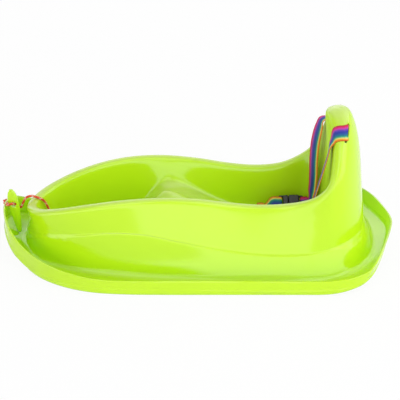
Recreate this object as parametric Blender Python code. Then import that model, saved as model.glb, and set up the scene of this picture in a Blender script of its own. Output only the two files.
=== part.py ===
"""One-child plastic sled with a high back, a webbing belt and a tow rope.

Metres, +Z up. +X points to the tail, -X to the upturned nose, -Y is the left
side seen from the rider. The origin is on the ground under the middle.
The shell is one moulded sheet: an upturned lip all round, a trough, a flared
outer wall with a crease, a rounded rim that rises into an arched back, and a
tub with a foot well, a thigh hump and a seat.
"""

import math

import bmesh
import bpy
import numpy as np
from mathutils import Matrix, Vector

# Overall size of the shell
LENGTH = 0.739
WIDTH = 0.381
WALL = 0.003
FRONT_SHOULDER_X = -0.150
REAR_SHOULDER_X = 0.200

# Top edge of the lip from the nose to the tail: x, half width, height
NOSE_X = -LENGTH / 2
TAIL_X = LENGTH / 2
SIDE_Y = WIDTH / 2
LIP_LINE = (
    (NOSE_X, 0.000, 0.0825),
    (-0.3640, 0.034, 0.0830),
    (-0.3540, 0.0625, 0.0710),
    (-0.3385, 0.0830, 0.0545),
    (-0.3170, 0.104, 0.0430),
    (-0.2850, 0.136, 0.0375),
    (-0.2400, 0.165, 0.0335),
    (-0.1900, 0.1825, 0.0290),
    (-0.1300, 0.1890, 0.0285),
    (-0.0600, SIDE_Y, 0.0295),
    (0.0500, SIDE_Y, 0.0295),
    (0.1700, SIDE_Y, 0.0285),
    (0.2300, SIDE_Y, 0.0285),
    (0.2720, 0.1880, 0.0340),
    (0.3010, 0.1770, 0.0400),
    (0.3180, 0.1560, 0.0490),
    (0.3310, 0.1280, 0.0550),
    (0.3460, 0.0900, 0.0590),
    (0.3600, 0.0450, 0.0570),
    (TAIL_X, 0.000, 0.0540),
)
LIP_BAND_HEIGHT = 0.0085
LIP_BAND_STEP = 0.0015
LIP_HOLE_ROW = 0.30
LIP_FILLET = 0.005
LIP_FLARE_TAIL = 0.007

# Rise of the underside at both ends
NOSE_RISE = 0.0465
NOSE_RISE_START_X = -0.280
NOSE_RISE_POWER = 2.8
TAIL_RISE = 0.031
TAIL_RISE_START_X = 0.235
TAIL_RISE_POWER = 1.05

# Foot of the outer wall: x, half width
FOOT_LINE = (
    (-0.329, 0.000),
    (-0.300, 0.060),
    (-0.240, 0.101),
    (-0.150, 0.127),
    (-0.020, 0.143),
    (0.100, 0.150),
    (0.200, 0.150),
    (0.272, 0.134),
    (0.312, 0.088),
    (0.326, 0.000),
)
FOOT_FILLET = 0.013

# Crease between the steep upper wall and the flared lower wall: x, half width, height
CREASE_LINE = (
    (-0.3210, 0.0000, 0.0660),
    (-0.3000, 0.0520, 0.0660),
    (-0.2400, 0.0870, 0.0710),
    (-0.1500, 0.1090, 0.0820),
    (-0.1000, 0.1160, 0.0830),
    (-0.0350, 0.1220, 0.0720),
    (0.0500, 0.1260, 0.0560),
    (0.1260, 0.1290, 0.0485),
    (0.2150, 0.1270, 0.0520),
    (0.2620, 0.1120, 0.0620),
    (0.2980, 0.0700, 0.0680),
    (0.3120, 0.0000, 0.0700),
)
CREASE_FILLET = 0.0025

# Middle of the rim from the nose over the arched back: x, half width, height
RIM_LINE = (
    (-0.3140, 0.0000, 0.0870),
    (-0.2990, 0.0370, 0.0930),
    (-0.2500, 0.0710, 0.1110),
    (-0.2000, 0.0860, 0.1260),
    (-0.1400, 0.0930, 0.1380),
    (-0.0750, 0.0925, 0.1427),
    (0.0000, 0.0875, 0.1385),
    (0.0600, 0.0848, 0.1295),
    (0.1200, 0.0850, 0.1253),
    (0.1700, 0.0885, 0.1310),
    (0.1940, 0.0950, 0.1395),
    (0.2150, 0.1005, 0.1525),
    (0.2285, 0.1030, 0.1690),
    (0.2360, 0.0990, 0.1890),
    (0.2425, 0.0890, 0.2110),
    (0.2490, 0.0740, 0.2330),
    (0.2550, 0.0540, 0.2560),
    (0.2580, 0.0300, 0.2737),
    (0.2588, 0.0000, 0.2812),
)
RIM_HALF_BAND = 0.0095
RIM_HALF_BAND_NOSE = 0.0115
RIM_HALF_BAND_WING = 0.0120
RIM_HALF_BAND_CREST = 0.0195
RIM_WING_SHARE = 0.30
RIM_TURN_SHARE = 0.85
RIM_DEPTH = 0.0085
RIM_DEPTH_CREST = 0.0140
RIM_STEPS = 5
RIM_BEND = 78.0

# Foot of the tub's inner wall: x, half width
TUB_LINE = (
    (-0.284, 0.000),
    (-0.270, 0.030),
    (-0.225, 0.055),
    (-0.150, 0.067),
    (-0.060, 0.067),
    (0.050, 0.063),
    (0.150, 0.064),
    (0.2000, 0.0670),
    (0.2180, 0.0600),
    (0.2295, 0.0400),
    (0.2375, 0.0000),
)
TUB_FILLET = 0.010
BACK_HOLLOW = 0.003

# How far the outer wall swells at the back: share of its height, swell
BACK_BULGE = (
    (0.30, 0.0030),
    (0.60, 0.0075),
    (0.85, 0.0070),
)

# Floor of the tub: x, height above the ground beside the wall
SEAT_HEIGHT = 0.044
FLOOR_LINE = (
    (-0.3000, 0.0030),
    (-0.1500, 0.0030),
    (-0.1280, 0.0240),
    (-0.0960, 0.0700),
    (-0.0600, 0.1025),
    (-0.0200, 0.0880),
    (0.0400, 0.0580),
    (0.0850, SEAT_HEIGHT),
    (0.2400, SEAT_HEIGHT),
)
POMMEL_X = -0.066
POMMEL_LENGTH = 0.055
POMMEL_RISE = 0.014
POMMEL_HALF_WIDTH = 0.017
LEG_CHANNEL_Y = 0.038
LEG_CHANNEL_DROP = 0.010
LEG_CHANNEL_HALF_WIDTH = 0.018

# Mesh counts of the shell
NOSE_STEPS = 12
SIDE_STEPS = 18
TAIL_STEPS = 14
FLOOR_STEPS = 8

GAP = 0.0003

# Belt of woven tape, and the two slots high in the back that it comes out of
WEBBING_WIDTH = 0.030
WEBBING_THICKNESS = 0.0016
WEBBING_STEP = 0.008
SLOT_LENGTH = 0.040
SLOT_WIDTH = 0.007
SLOT_Y = 0.0545
SLOT_BEND = 39.0
BELT_EDGE_Y = 0.0550
BELT_EDGE_LIFT = 0.0034
HOLLOW_SHIFT = 0.0092

# Side release buckle: the socket stays with the far strap, the plug slides out towards the nose
BUCKLE_X = 0.176
BUCKLE_Y = 0.0455
BUCKLE_TILT = 32.0
BUCKLE_WIDTH = 0.038
SOCKET_LENGTH = 0.0205
SOCKET_HEIGHT = 0.011
SOCKET_WALL = 0.0032
PLUG_LENGTH = 0.011
PLUG_HEIGHT = 0.009
BAR_WIDTH = 0.0030
BAR_SLOT = 0.0045
FRAME_HEIGHT = 0.0040
PRONG_REACH = 0.0155
PRONG_WIDTH = 0.0045
PRONG_CLEARANCE = 0.0004
WINDOW_LENGTH = 0.008

# Tow rope, tied behind the nose lip, and its pull grip
ROPE_DIAMETER = 0.0045
ROPE_HOLE_DIAMETER = 0.0075
ROPE_STEP = 0.008
KNOT_LENGTH = 0.0100
KNOT_DIAMETER = 0.0122
KNOT_FACE_DIAMETER = 0.0085
COIL_CENTRE = (-0.213, 0.0)
COIL_INNER_RADIUS = 0.0185
COIL_PITCH = 0.0054
COIL_LAYER = 0.0052
COIL_TURNS = 6
COIL_POINTS = 24
TIE_WIDTH = 0.008
TIE_THICKNESS = 0.0008
TIE_CLEARANCE = 0.0006
GRIP_FOOT = (-0.3415, 0.0000)
GRIP_TOP = (-0.3530, 0.0050)
GRIP_LENGTH = 0.089
GRIP_THICKNESS = 0.0042
GRIP_EYE_DIAMETER = 0.010
GRIP_EYE_SHARE = 0.66
# Half width of the grip from its foot to its top: share of its length, half width
GRIP_OUTLINE = (
    (0.00, 0.0026),
    (0.05, 0.0044),
    (0.20, 0.0062),
    (0.42, 0.0084),
    (0.64, 0.0097),
    (0.80, 0.0094),
    (0.93, 0.0066),
    (1.00, 0.0030),
)


def material(name, color, roughness, metallic=0.0):
    """Make a plain surface of one colour."""
    surface = bpy.data.materials.new(name)
    surface.use_nodes = True
    shader = surface.node_tree.nodes["Principled BSDF"]
    shader.inputs["Base Color"].default_value = (*color, 1.0)
    shader.inputs["Roughness"].default_value = roughness
    shader.inputs["Metallic"].default_value = metallic
    return surface


def smooth_curve(points, per_span=24):
    """Smooth line through the points, whose ends cross the middle plane squarely."""
    knots = np.array(points, float)
    mirror = np.ones(knots.shape[1])
    mirror[1] = -1.0
    before = knots[1] * mirror
    after = knots[-2] * mirror
    padded = np.vstack([before, knots, after])
    chord = np.linalg.norm(np.diff(padded, axis=0), axis=1)
    place = np.concatenate([[0.0], np.cumsum(chord)])
    slope = np.empty_like(padded)
    for i in range(1, len(padded) - 1):
        left = (padded[i] - padded[i - 1]) / chord[i - 1]
        right = (padded[i + 1] - padded[i]) / chord[i]
        slope[i] = (left * chord[i] + right * chord[i - 1]) / (chord[i] + chord[i - 1])
    line = []
    for i in range(1, len(padded) - 2):
        span = place[i + 1] - place[i]
        for step in range(per_span):
            t = step / per_span
            line.append(
                (2 * t**3 - 3 * t**2 + 1) * padded[i]
                + (t**3 - 2 * t**2 + t) * span * slope[i]
                + (3 * t**2 - 2 * t**3) * padded[i + 1]
                + (t**3 - t**2) * span * slope[i + 1]
            )
    line.append(knots[-1])
    return np.array(line)


def open_curve(points, per_span=12):
    """Smooth line through the points of an open route."""
    knots = np.array(points, float)
    chord = np.linalg.norm(np.diff(knots[:, :3], axis=0), axis=1)
    slope = np.empty_like(knots)
    slope[0] = (knots[1] - knots[0]) / chord[0]
    slope[-1] = (knots[-1] - knots[-2]) / chord[-1]
    for i in range(1, len(knots) - 1):
        left = (knots[i] - knots[i - 1]) / chord[i - 1]
        right = (knots[i + 1] - knots[i]) / chord[i]
        slope[i] = (left * chord[i] + right * chord[i - 1]) / (chord[i] + chord[i - 1])
    line = []
    for i in range(len(knots) - 1):
        for step in range(per_span):
            t = step / per_span
            line.append(
                (2 * t**3 - 3 * t**2 + 1) * knots[i]
                + (t**3 - 2 * t**2 + t) * chord[i] * slope[i]
                + (3 * t**2 - 2 * t**3) * knots[i + 1]
                + (t**3 - t**2) * chord[i] * slope[i + 1]
            )
    line.append(knots[-1])
    return np.array(line)


def arc_length(line):
    """Length along the line at each of its points."""
    return np.concatenate([[0.0], np.cumsum(np.linalg.norm(np.diff(line, axis=0), axis=1))])


def pick(line, length, wanted):
    """Points of the line at the wanted lengths."""
    return np.stack([np.interp(wanted, length, line[:, k]) for k in range(line.shape[1])], 1)


def stations(line):
    """Split a half outline at both shoulders and share its points out evenly."""
    length = arc_length(line)
    front = np.argmax(line[:, 0] >= FRONT_SHOULDER_X)
    rear = np.argmax(line[:, 0] >= REAR_SHOULDER_X)
    front_at = np.interp(FRONT_SHOULDER_X, line[front - 1:front + 1, 0], length[front - 1:front + 1])
    rear_at = np.interp(REAR_SHOULDER_X, line[rear - 1:rear + 1, 0], length[rear - 1:rear + 1])
    side_x = np.linspace(FRONT_SHOULDER_X, REAR_SHOULDER_X, SIDE_STEPS + 1)[1:-1]
    side_at = np.interp(side_x, line[front - 1:rear + 1, 0], length[front - 1:rear + 1])
    wanted = np.concatenate([
        np.linspace(0.0, front_at, NOSE_STEPS + 1),
        side_at,
        np.linspace(rear_at, length[-1], TAIL_STEPS + 1),
    ])
    return pick(line, length, wanted)


def inset(line, distance):
    """The line moved in towards the middle by a distance, level with itself."""
    along = np.gradient(line[:, :2], axis=0)
    along[0] = (0.0, 1.0)
    along[-1] = (0.0, -1.0)
    along /= np.linalg.norm(along, axis=1)[:, None]
    moved = line.copy()
    moved[:, 0] += along[:, 1] * distance
    moved[:, 1] -= along[:, 0] * distance
    moved[[0, -1], 1] = 0.0
    return moved


def base_height(x):
    """Height of the underside, which curves up at the nose and a little at the tail."""
    nose_run = LENGTH / 2 + NOSE_RISE_START_X
    tail_run = LENGTH / 2 - TAIL_RISE_START_X
    nose = np.clip((NOSE_RISE_START_X - x) / nose_run, 0.0, None) ** NOSE_RISE_POWER
    tail = np.clip((x - TAIL_RISE_START_X) / tail_run, 0.0, None) ** TAIL_RISE_POWER
    return NOSE_RISE * nose + TAIL_RISE * tail


def floor_height(x, y):
    """Height of the tub floor with its thigh hump, pommel and leg channels."""
    line = np.array(FLOOR_LINE)
    height = np.interp(x, *smooth_profile(line).T)
    near_hump = np.exp(-(((x - POMMEL_X) / POMMEL_LENGTH) ** 2))
    pommel = POMMEL_RISE * np.exp(-((y / POMMEL_HALF_WIDTH) ** 2))
    channel = LEG_CHANNEL_DROP * np.exp(-(((np.abs(y) - LEG_CHANNEL_Y) / LEG_CHANNEL_HALF_WIDTH) ** 2))
    lowest = base_height(x) + WALL
    return np.maximum(height + near_hump * (pommel - channel), lowest)


def smooth_profile(knots, per_span=12):
    """Smooth height profile through the knots, without overshoot."""
    x = knots[:, 0]
    z = knots[:, 1]
    step = np.diff(z) / np.diff(x)
    slope = np.zeros(len(x))
    for i in range(1, len(x) - 1):
        if step[i - 1] * step[i] > 0:
            slope[i] = 2 * step[i - 1] * step[i] / (step[i - 1] + step[i])
    line = []
    for i in range(len(x) - 1):
        run = x[i + 1] - x[i]
        for k in range(per_span):
            t = k / per_span
            line.append((
                x[i] + t * run,
                (2 * t**3 - 3 * t**2 + 1) * z[i]
                + (t**3 - 2 * t**2 + t) * run * slope[i]
                + (3 * t**2 - 2 * t**3) * z[i + 1]
                + (t**3 - t**2) * run * slope[i + 1],
            ))
    line.append((x[-1], z[-1]))
    return np.array(line)


def rim_frames():
    """Crown of the rim at each station, with its directions, half width and depth."""
    crown = stations(smooth_curve(RIM_LINE))
    ahead = np.gradient(crown, axis=0)
    ahead[0] = (0.0, 1.0, 0.0)
    ahead[-1] = (0.0, -1.0, 0.0)
    ahead /= np.linalg.norm(ahead, axis=1)[:, None]
    frames = []
    for i in range(len(crown)):
        tail = np.clip((i - NOSE_STEPS - SIDE_STEPS) / TAIL_STEPS, 0.0, 1.0)
        nose = np.clip(1.0 - i / NOSE_STEPS, 0.0, 1.0)
        turn = min(tail / RIM_TURN_SHARE, 1.0)
        turn = turn * turn * (3.0 - 2.0 * turn) * math.pi / 2
        if tail > 0.0:
            across = np.array([math.sin(turn), math.cos(turn), 0.0])
        else:
            across = np.array([-ahead[i][1], ahead[i][0], 0.0])
        across -= ahead[i] * np.dot(across, ahead[i])
        across /= np.linalg.norm(across)
        up = np.cross(ahead[i], across)
        wing = np.clip(tail / RIM_WING_SHARE, 0.0, 1.0)
        crest = np.clip((tail - RIM_WING_SHARE) / (1.0 - RIM_WING_SHARE), 0.0, 1.0)
        half = RIM_HALF_BAND + (RIM_HALF_BAND_NOSE - RIM_HALF_BAND) * nose
        half += (RIM_HALF_BAND_WING - RIM_HALF_BAND) * wing
        half += (RIM_HALF_BAND_CREST - RIM_HALF_BAND_WING) * crest * crest
        depth = RIM_DEPTH + (RIM_DEPTH_CREST - RIM_DEPTH) * crest
        frames.append(np.concatenate([crown[i], across, up, ahead[i], [half, depth]]))
    return np.array(frames)


def rim_point(frames, place, bend, lift=0.0, side=1.0):
    """Point over the rim at a station, turned outwards by a bend and lifted off the surface.

    It comes back with the direction off the surface and the direction along the rim.
    """
    frame = np.array([np.interp(place, np.arange(len(frames)), frames[:, k]) for k in range(14)])
    crown, across, up, ahead = frame[0:3], frame[3:6], frame[6:9], frame[9:12]
    half, depth = frame[12], frame[13]
    turn = math.radians(bend)
    off = depth * math.sin(turn) * across + half * math.cos(turn) * up
    off /= np.linalg.norm(off)
    point = crown + half * math.sin(turn) * across + depth * (math.cos(turn) - 1.0) * up + lift * off
    mirror = np.array([1.0, side, 1.0])
    return point * mirror, off * mirror, ahead * mirror


def rim_place(frames, wanted_y, bend):
    """Station on the arched back where the rim passes a distance from the middle."""
    places = np.linspace(NOSE_STEPS + SIDE_STEPS + 5, len(frames) - 1, 400)
    distance = [rim_point(frames, place, bend)[0][1] for place in places]
    return float(places[np.argmin(np.abs(np.array(distance) - wanted_y))])


def rim_rings(frames):
    """Rings over the rounded rim, from its outer to its inner side."""
    rings = []
    for step in range(RIM_STEPS):
        bend = RIM_BEND * (1.0 - 2.0 * step / (RIM_STEPS - 1))
        rings.append(np.array([rim_point(frames, i, bend)[0] for i in range(len(frames))]))
    return rings


def rounded(before, corner, after, distance, parts=2):
    """Rings that round the corner between two walls."""
    back = before - corner
    back_length = np.linalg.norm(back, axis=1)[:, None]
    ahead = after - corner
    ahead_length = np.linalg.norm(ahead, axis=1)[:, None]
    start = corner + back / back_length * np.minimum(distance, 0.45 * back_length)
    end = corner + ahead / ahead_length * np.minimum(distance, 0.45 * ahead_length)
    rings = []
    for k in range(parts + 1):
        t = k / parts
        rings.append((1 - t) ** 2 * start + 2 * t * (1 - t) * corner + t**2 * end)
    return rings


def with_height(plan, height):
    """Plan points at the given heights."""
    return np.column_stack([plan, height])


def shell_rings(frames):
    """Every ring of the shell's upper side, from the lip's top to the tub's floor."""
    edge = stations(smooth_curve(LIP_LINE))
    base = base_height(edge[:, 0])
    tail_run = np.clip((edge[:, 0] - TAIL_RISE_START_X) / (TAIL_X - TAIL_RISE_START_X), 0.0, 1.0)
    flare = LIP_FLARE_TAIL * tail_run
    lip_top = inset(edge, WALL + LIP_BAND_STEP * (1.0 - tail_run))
    step_high = inset(edge, WALL + LIP_BAND_STEP + 0.7 * flare)
    step_high[:, 2] = base + LIP_BAND_HEIGHT + LIP_BAND_STEP
    step_low = inset(edge, WALL + 0.8 * flare)
    step_low[:, 2] = base + LIP_BAND_HEIGHT
    lip_corner = inset(edge, WALL + flare)
    lip_corner[:, 2] = base + WALL
    foot_plan = stations(smooth_curve(FOOT_LINE))
    foot = with_height(foot_plan, base_height(foot_plan[:, 0]) + WALL)
    crease = stations(smooth_curve(CREASE_LINE))
    rim = rim_rings(frames)
    tub_plan = stations(smooth_curve(TUB_LINE))
    tub = with_height(tub_plan, floor_height(tub_plan[:, 0], tub_plan[:, 1]))
    spine = np.clip(tub_plan[:, 0], FRONT_SHOULDER_X, REAR_SHOULDER_X)
    inside_plan = tub_plan + 0.35 * (np.column_stack([spine, 0.0 * spine]) - tub_plan)
    inside = with_height(inside_plan, floor_height(inside_plan[:, 0], inside_plan[:, 1]))

    lip_middle = lip_top + LIP_HOLE_ROW * (step_high - lip_top)
    rings = [lip_top, lip_middle, step_high, step_low]
    trough_plan = 0.5 * (lip_corner[:, :2] + foot_plan)
    trough = with_height(trough_plan, base_height(trough_plan[:, 0]) + WALL)
    rings += rounded(step_low, lip_corner, trough, LIP_FILLET)[1:]
    rings.append(trough)
    rings += rounded(trough, foot, crease, FOOT_FILLET)
    rings += rounded(foot, crease, rim[0], CREASE_FILLET)
    wall_top = rings[-1]
    count = len(edge)
    tail = np.clip((np.arange(count) - NOSE_STEPS - SIDE_STEPS) / TAIL_STEPS, 0.0, 1.0)
    for share, bulge in BACK_BULGE:
        ring = wall_top + (rim[0] - wall_top) * share
        ring[:, 0] += bulge * np.sin(0.5 * math.pi * tail)
        rings.append(ring)
    rim_start = len(rings)
    rings += rim
    wall_low = rounded(rim[-1], tub, inside, TUB_FILLET, 3)
    for share in (0.33, 0.66):
        ring = rim[-1] + (wall_low[0] - rim[-1]) * share
        ring[:, 0] += BACK_HOLLOW * tail * math.sin(math.pi * share)
        rings.append(ring)
    rings += wall_low[:-1]
    return rings, rim_start


def sheet_from_rings(rings):
    """Join the mirrored rings into one sheet and close the tub with ribs across its floor."""
    shape = bmesh.new()
    count = len(rings[0])
    rows = []
    for ring in rings:
        far_side = [shape.verts.new(point) for point in ring]
        near_side = [shape.verts.new((ring[i][0], -ring[i][1], ring[i][2])) for i in range(1, count - 1)]
        rows.append(far_side + near_side[::-1])
    around = len(rows[0])
    for low, high in zip(rows[:-1], rows[1:]):
        for i in range(around):
            j = (i + 1) % around
            shape.faces.new((low[i], high[i], high[j], low[j]))
    inner = rows[-1]
    ribs = [[inner[0]]]
    for i in range(1, count - 1):
        far_point = inner[i]
        near_point = inner[around - i]
        rib = [far_point]
        for k in range(1, FLOOR_STEPS):
            y = far_point.co.y * (1.0 - 2.0 * k / FLOOR_STEPS)
            x = far_point.co.x
            rib.append(shape.verts.new((x, y, floor_height(x, y))))
        rib.append(near_point)
        ribs.append(rib)
    ribs.append([inner[count - 1]])
    for front, rear in zip(ribs[:-1], ribs[1:]):
        for k in range(FLOOR_STEPS):
            corners = [front[min(k, len(front) - 1)], front[min(k + 1, len(front) - 1)]]
            corners += [rear[min(k + 1, len(rear) - 1)], rear[min(k, len(rear) - 1)]]
            unique = list(dict.fromkeys(corners))
            shape.faces.new(unique)
    bmesh.ops.recalc_face_normals(shape, faces=shape.faces)
    return shape, rows


def open_hole(shape, rows, first_row, columns, shift, half_length, half_height, is_round):
    """Cut a rounded opening into a block of the sheet and join its edge to the block's edge."""
    block = [[rows[first_row + r][c] for c in columns] for r in range(3)]
    wide = len(columns)
    middle = np.array([vert.co[:] for vert in block[1]])
    upper = np.array([vert.co[:] for vert in block[0]])
    lower = np.array([vert.co[:] for vert in block[2]])
    length = arc_length(middle)
    centre = np.interp(shift, np.arange(wide), length)
    edge = [(0, c) for c in range(wide)] + [(1, wide - 1)]
    edge += [(2, c) for c in reversed(range(wide))] + [(1, 0)]
    inner = []
    for r, c in edge:
        u = 2.0 * c / (wide - 1) - 1.0
        v = float(1 - r)
        if is_round:
            u, v = u / math.hypot(u, v), v / math.hypot(u, v)
        elif abs(u) > 0.9 and v != 0.0:
            u, v = 0.96 * u, 0.72 * v
        at = centre + u * half_length
        point = np.array([np.interp(at, length, middle[:, k]) for k in range(3)])
        toward = upper if v > 0 else lower
        target = np.array([np.interp(at, length, toward[:, k]) for k in range(3)])
        step = target - point
        inner.append(shape.verts.new(point + step / np.linalg.norm(step) * abs(v) * half_height))
    outer = [block[r][c] for r, c in edge]
    inside = set(vert for row in block for vert in row)
    faces = [face for face in shape.faces if all(vert in inside for vert in face.verts)]
    bmesh.ops.delete(shape, geom=faces, context="FACES_ONLY")
    for vert in block[1][1:-1]:
        shape.verts.remove(vert)
    for i in range(len(edge)):
        j = (i + 1) % len(edge)
        shape.faces.new((outer[i], outer[j], inner[j], inner[i]))
    bmesh.ops.recalc_face_normals(shape, faces=shape.faces)


def add_object(name, shape, surface):
    """Turn a shape into a named object."""
    mesh = bpy.data.meshes.new(name)
    shape.to_mesh(mesh)
    shape.free()
    mesh.materials.append(surface)
    thing = bpy.data.objects.new(name, mesh)
    bpy.context.scene.collection.objects.link(thing)
    return thing


def make_shell(surface, frames):
    """The moulded body in one piece, with its belt slots and the hole for the tow rope."""
    rings, rim_start = shell_rings(frames)
    shape, rows = sheet_from_rings(rings)
    around = len(rows[0])
    place = rim_place(frames, SLOT_Y, SLOT_BEND)
    middle = round(place)
    far_columns = [middle + k for k in range(-2, 3)]
    near_columns = [around - c for c in far_columns]
    shift = place - middle + 2
    for columns in (far_columns, near_columns):
        open_hole(shape, rows, rim_start, columns, shift, SLOT_LENGTH / 2, SLOT_WIDTH / 2, False)
    radius = ROPE_HOLE_DIAMETER / 2
    open_hole(shape, rows, 0, [0, 1, 2], 1.0, radius, radius, True)
    up = sum((face.normal.z * face.calc_area() for face in shape.faces), 0.0)
    if up < 0:
        bmesh.ops.reverse_faces(shape, faces=shape.faces)
    shell = add_object("sled_shell", shape, surface)
    shell.data.shade_smooth()
    wall = shell.modifiers.new("wall", "SOLIDIFY")
    wall.thickness = WALL
    wall.offset = -1.0
    wall.use_even_offset = True
    hole = rings[1][1]
    along = rings[1][2] - rings[1][0]
    outward = np.array([-along[1], along[0], 0.0])
    trough_line = np.array([ring[0] for ring in rings[:rim_start]])
    return shell, hole, outward / np.linalg.norm(outward), trough_line


def strap(name, keys, surface):
    """A flat tape along a route; each key is a point and the direction of the tape's width."""
    data = np.array([[*point, *width] for point, width in keys])
    line = open_curve(data)
    per_span = 12
    picked = [0]
    for span in range(len(keys) - 1):
        first = span * per_span
        run = arc_length(line[first:first + per_span + 1, :3])[-1]
        parts = min(max(2, math.ceil(run / WEBBING_STEP)), per_span)
        while per_span % parts:
            parts += 1
        picked += [first + (k + 1) * per_span // parts for k in range(parts)]
    ahead = np.gradient(line[:, :3], axis=0)
    shape = bmesh.new()
    rows = []
    for i in picked:
        forward = ahead[i] / np.linalg.norm(ahead[i])
        width = line[i, 3:] - forward * np.dot(line[i, 3:], forward)
        width /= np.linalg.norm(width)
        normal = np.cross(forward, width)
        row = []
        for across, off in ((-1, -1), (0, -1), (1, -1), (1, 1), (0, 1), (-1, 1)):
            place = line[i, :3] + width * across * WEBBING_WIDTH / 2
            row.append(shape.verts.new(place + normal * off * WEBBING_THICKNESS / 2))
        rows.append(row)
    around = len(rows[0])
    for low, high in zip(rows[:-1], rows[1:]):
        for i in range(around):
            j = (i + 1) % around
            shape.faces.new((low[i], low[j], high[j], high[i]))
    shape.faces.new(rows[0])
    shape.faces.new(rows[-1])
    bmesh.ops.recalc_face_normals(shape, faces=shape.faces)
    thing = add_object(name, shape, surface)
    thing.data.shade_smooth()
    thing.data.set_sharp_from_angle(angle=math.radians(40.0))
    return thing


def back_keys(frames, side):
    """Belt route from inside the hollow back, out of a slot and over the front edge."""
    lift = WEBBING_THICKNESS / 2 + GAP + 0.0003
    place = rim_place(frames, SLOT_Y, SLOT_BEND)
    front = rim_place(frames, BELT_EDGE_Y, -RIM_BEND)
    centre, off, along = rim_point(frames, place, SLOT_BEND, 0.0, side)
    across = np.cross(off, along)
    if across[0] > 0:
        across = -across
    keys = [
        (centre - 0.016 * off, along),
        (centre - 0.006 * off, along),
        (centre - 0.0010 * off + 0.0002 * across, along),
        (centre + 0.0009 * off + 0.0014 * across, along),
    ]
    for share in (0.22, 0.40, 0.58, 0.74, 0.88, 1.0):
        bend = SLOT_BEND + (-RIM_BEND - SLOT_BEND) * share
        clear = lift + BELT_EDGE_LIFT * share
        point, away, run = rim_point(frames, place + (front - place) * share, bend, clear, side)
        keys.append((point, run))
    return keys


def buckle_matrix():
    """Where the buckle lies: leaning on the foot of the far wall, its mouth towards the nose."""
    tilt = math.radians(BUCKLE_TILT)
    low = math.sin(tilt) * BUCKLE_WIDTH / 2 + math.cos(tilt) * SOCKET_HEIGHT / 2
    place = Vector((BUCKLE_X, BUCKLE_Y, SEAT_HEIGHT + GAP + low))
    return Matrix.Translation(place) @ Matrix.Rotation(tilt, 4, "X")


def bar_loop(x, towards, tail):
    """Belt route round a buckle's bar, in the buckle's own frame: from the run to the doubled end."""
    off = GAP + WEBBING_THICKNESS / 2
    wide = BAR_WIDTH / 2 + off + 0.0011
    high = FRAME_HEIGHT / 2 + off + 0.0008
    route = [(x + towards * 0.011, 0.0, high + 0.0010), (x + towards * 0.005, 0.0, high + 0.0002)]
    for angle in (90.0, 45.0, 0.0, -45.0, -90.0):
        turn = math.radians(angle)
        route.append((x - towards * wide * math.cos(turn), 0.0, high * math.sin(turn)))
    route.append((x + towards * 0.006, 0.0, -high))
    route.append((x + towards * tail, 0.0, -high - 0.0002))
    return route


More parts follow.
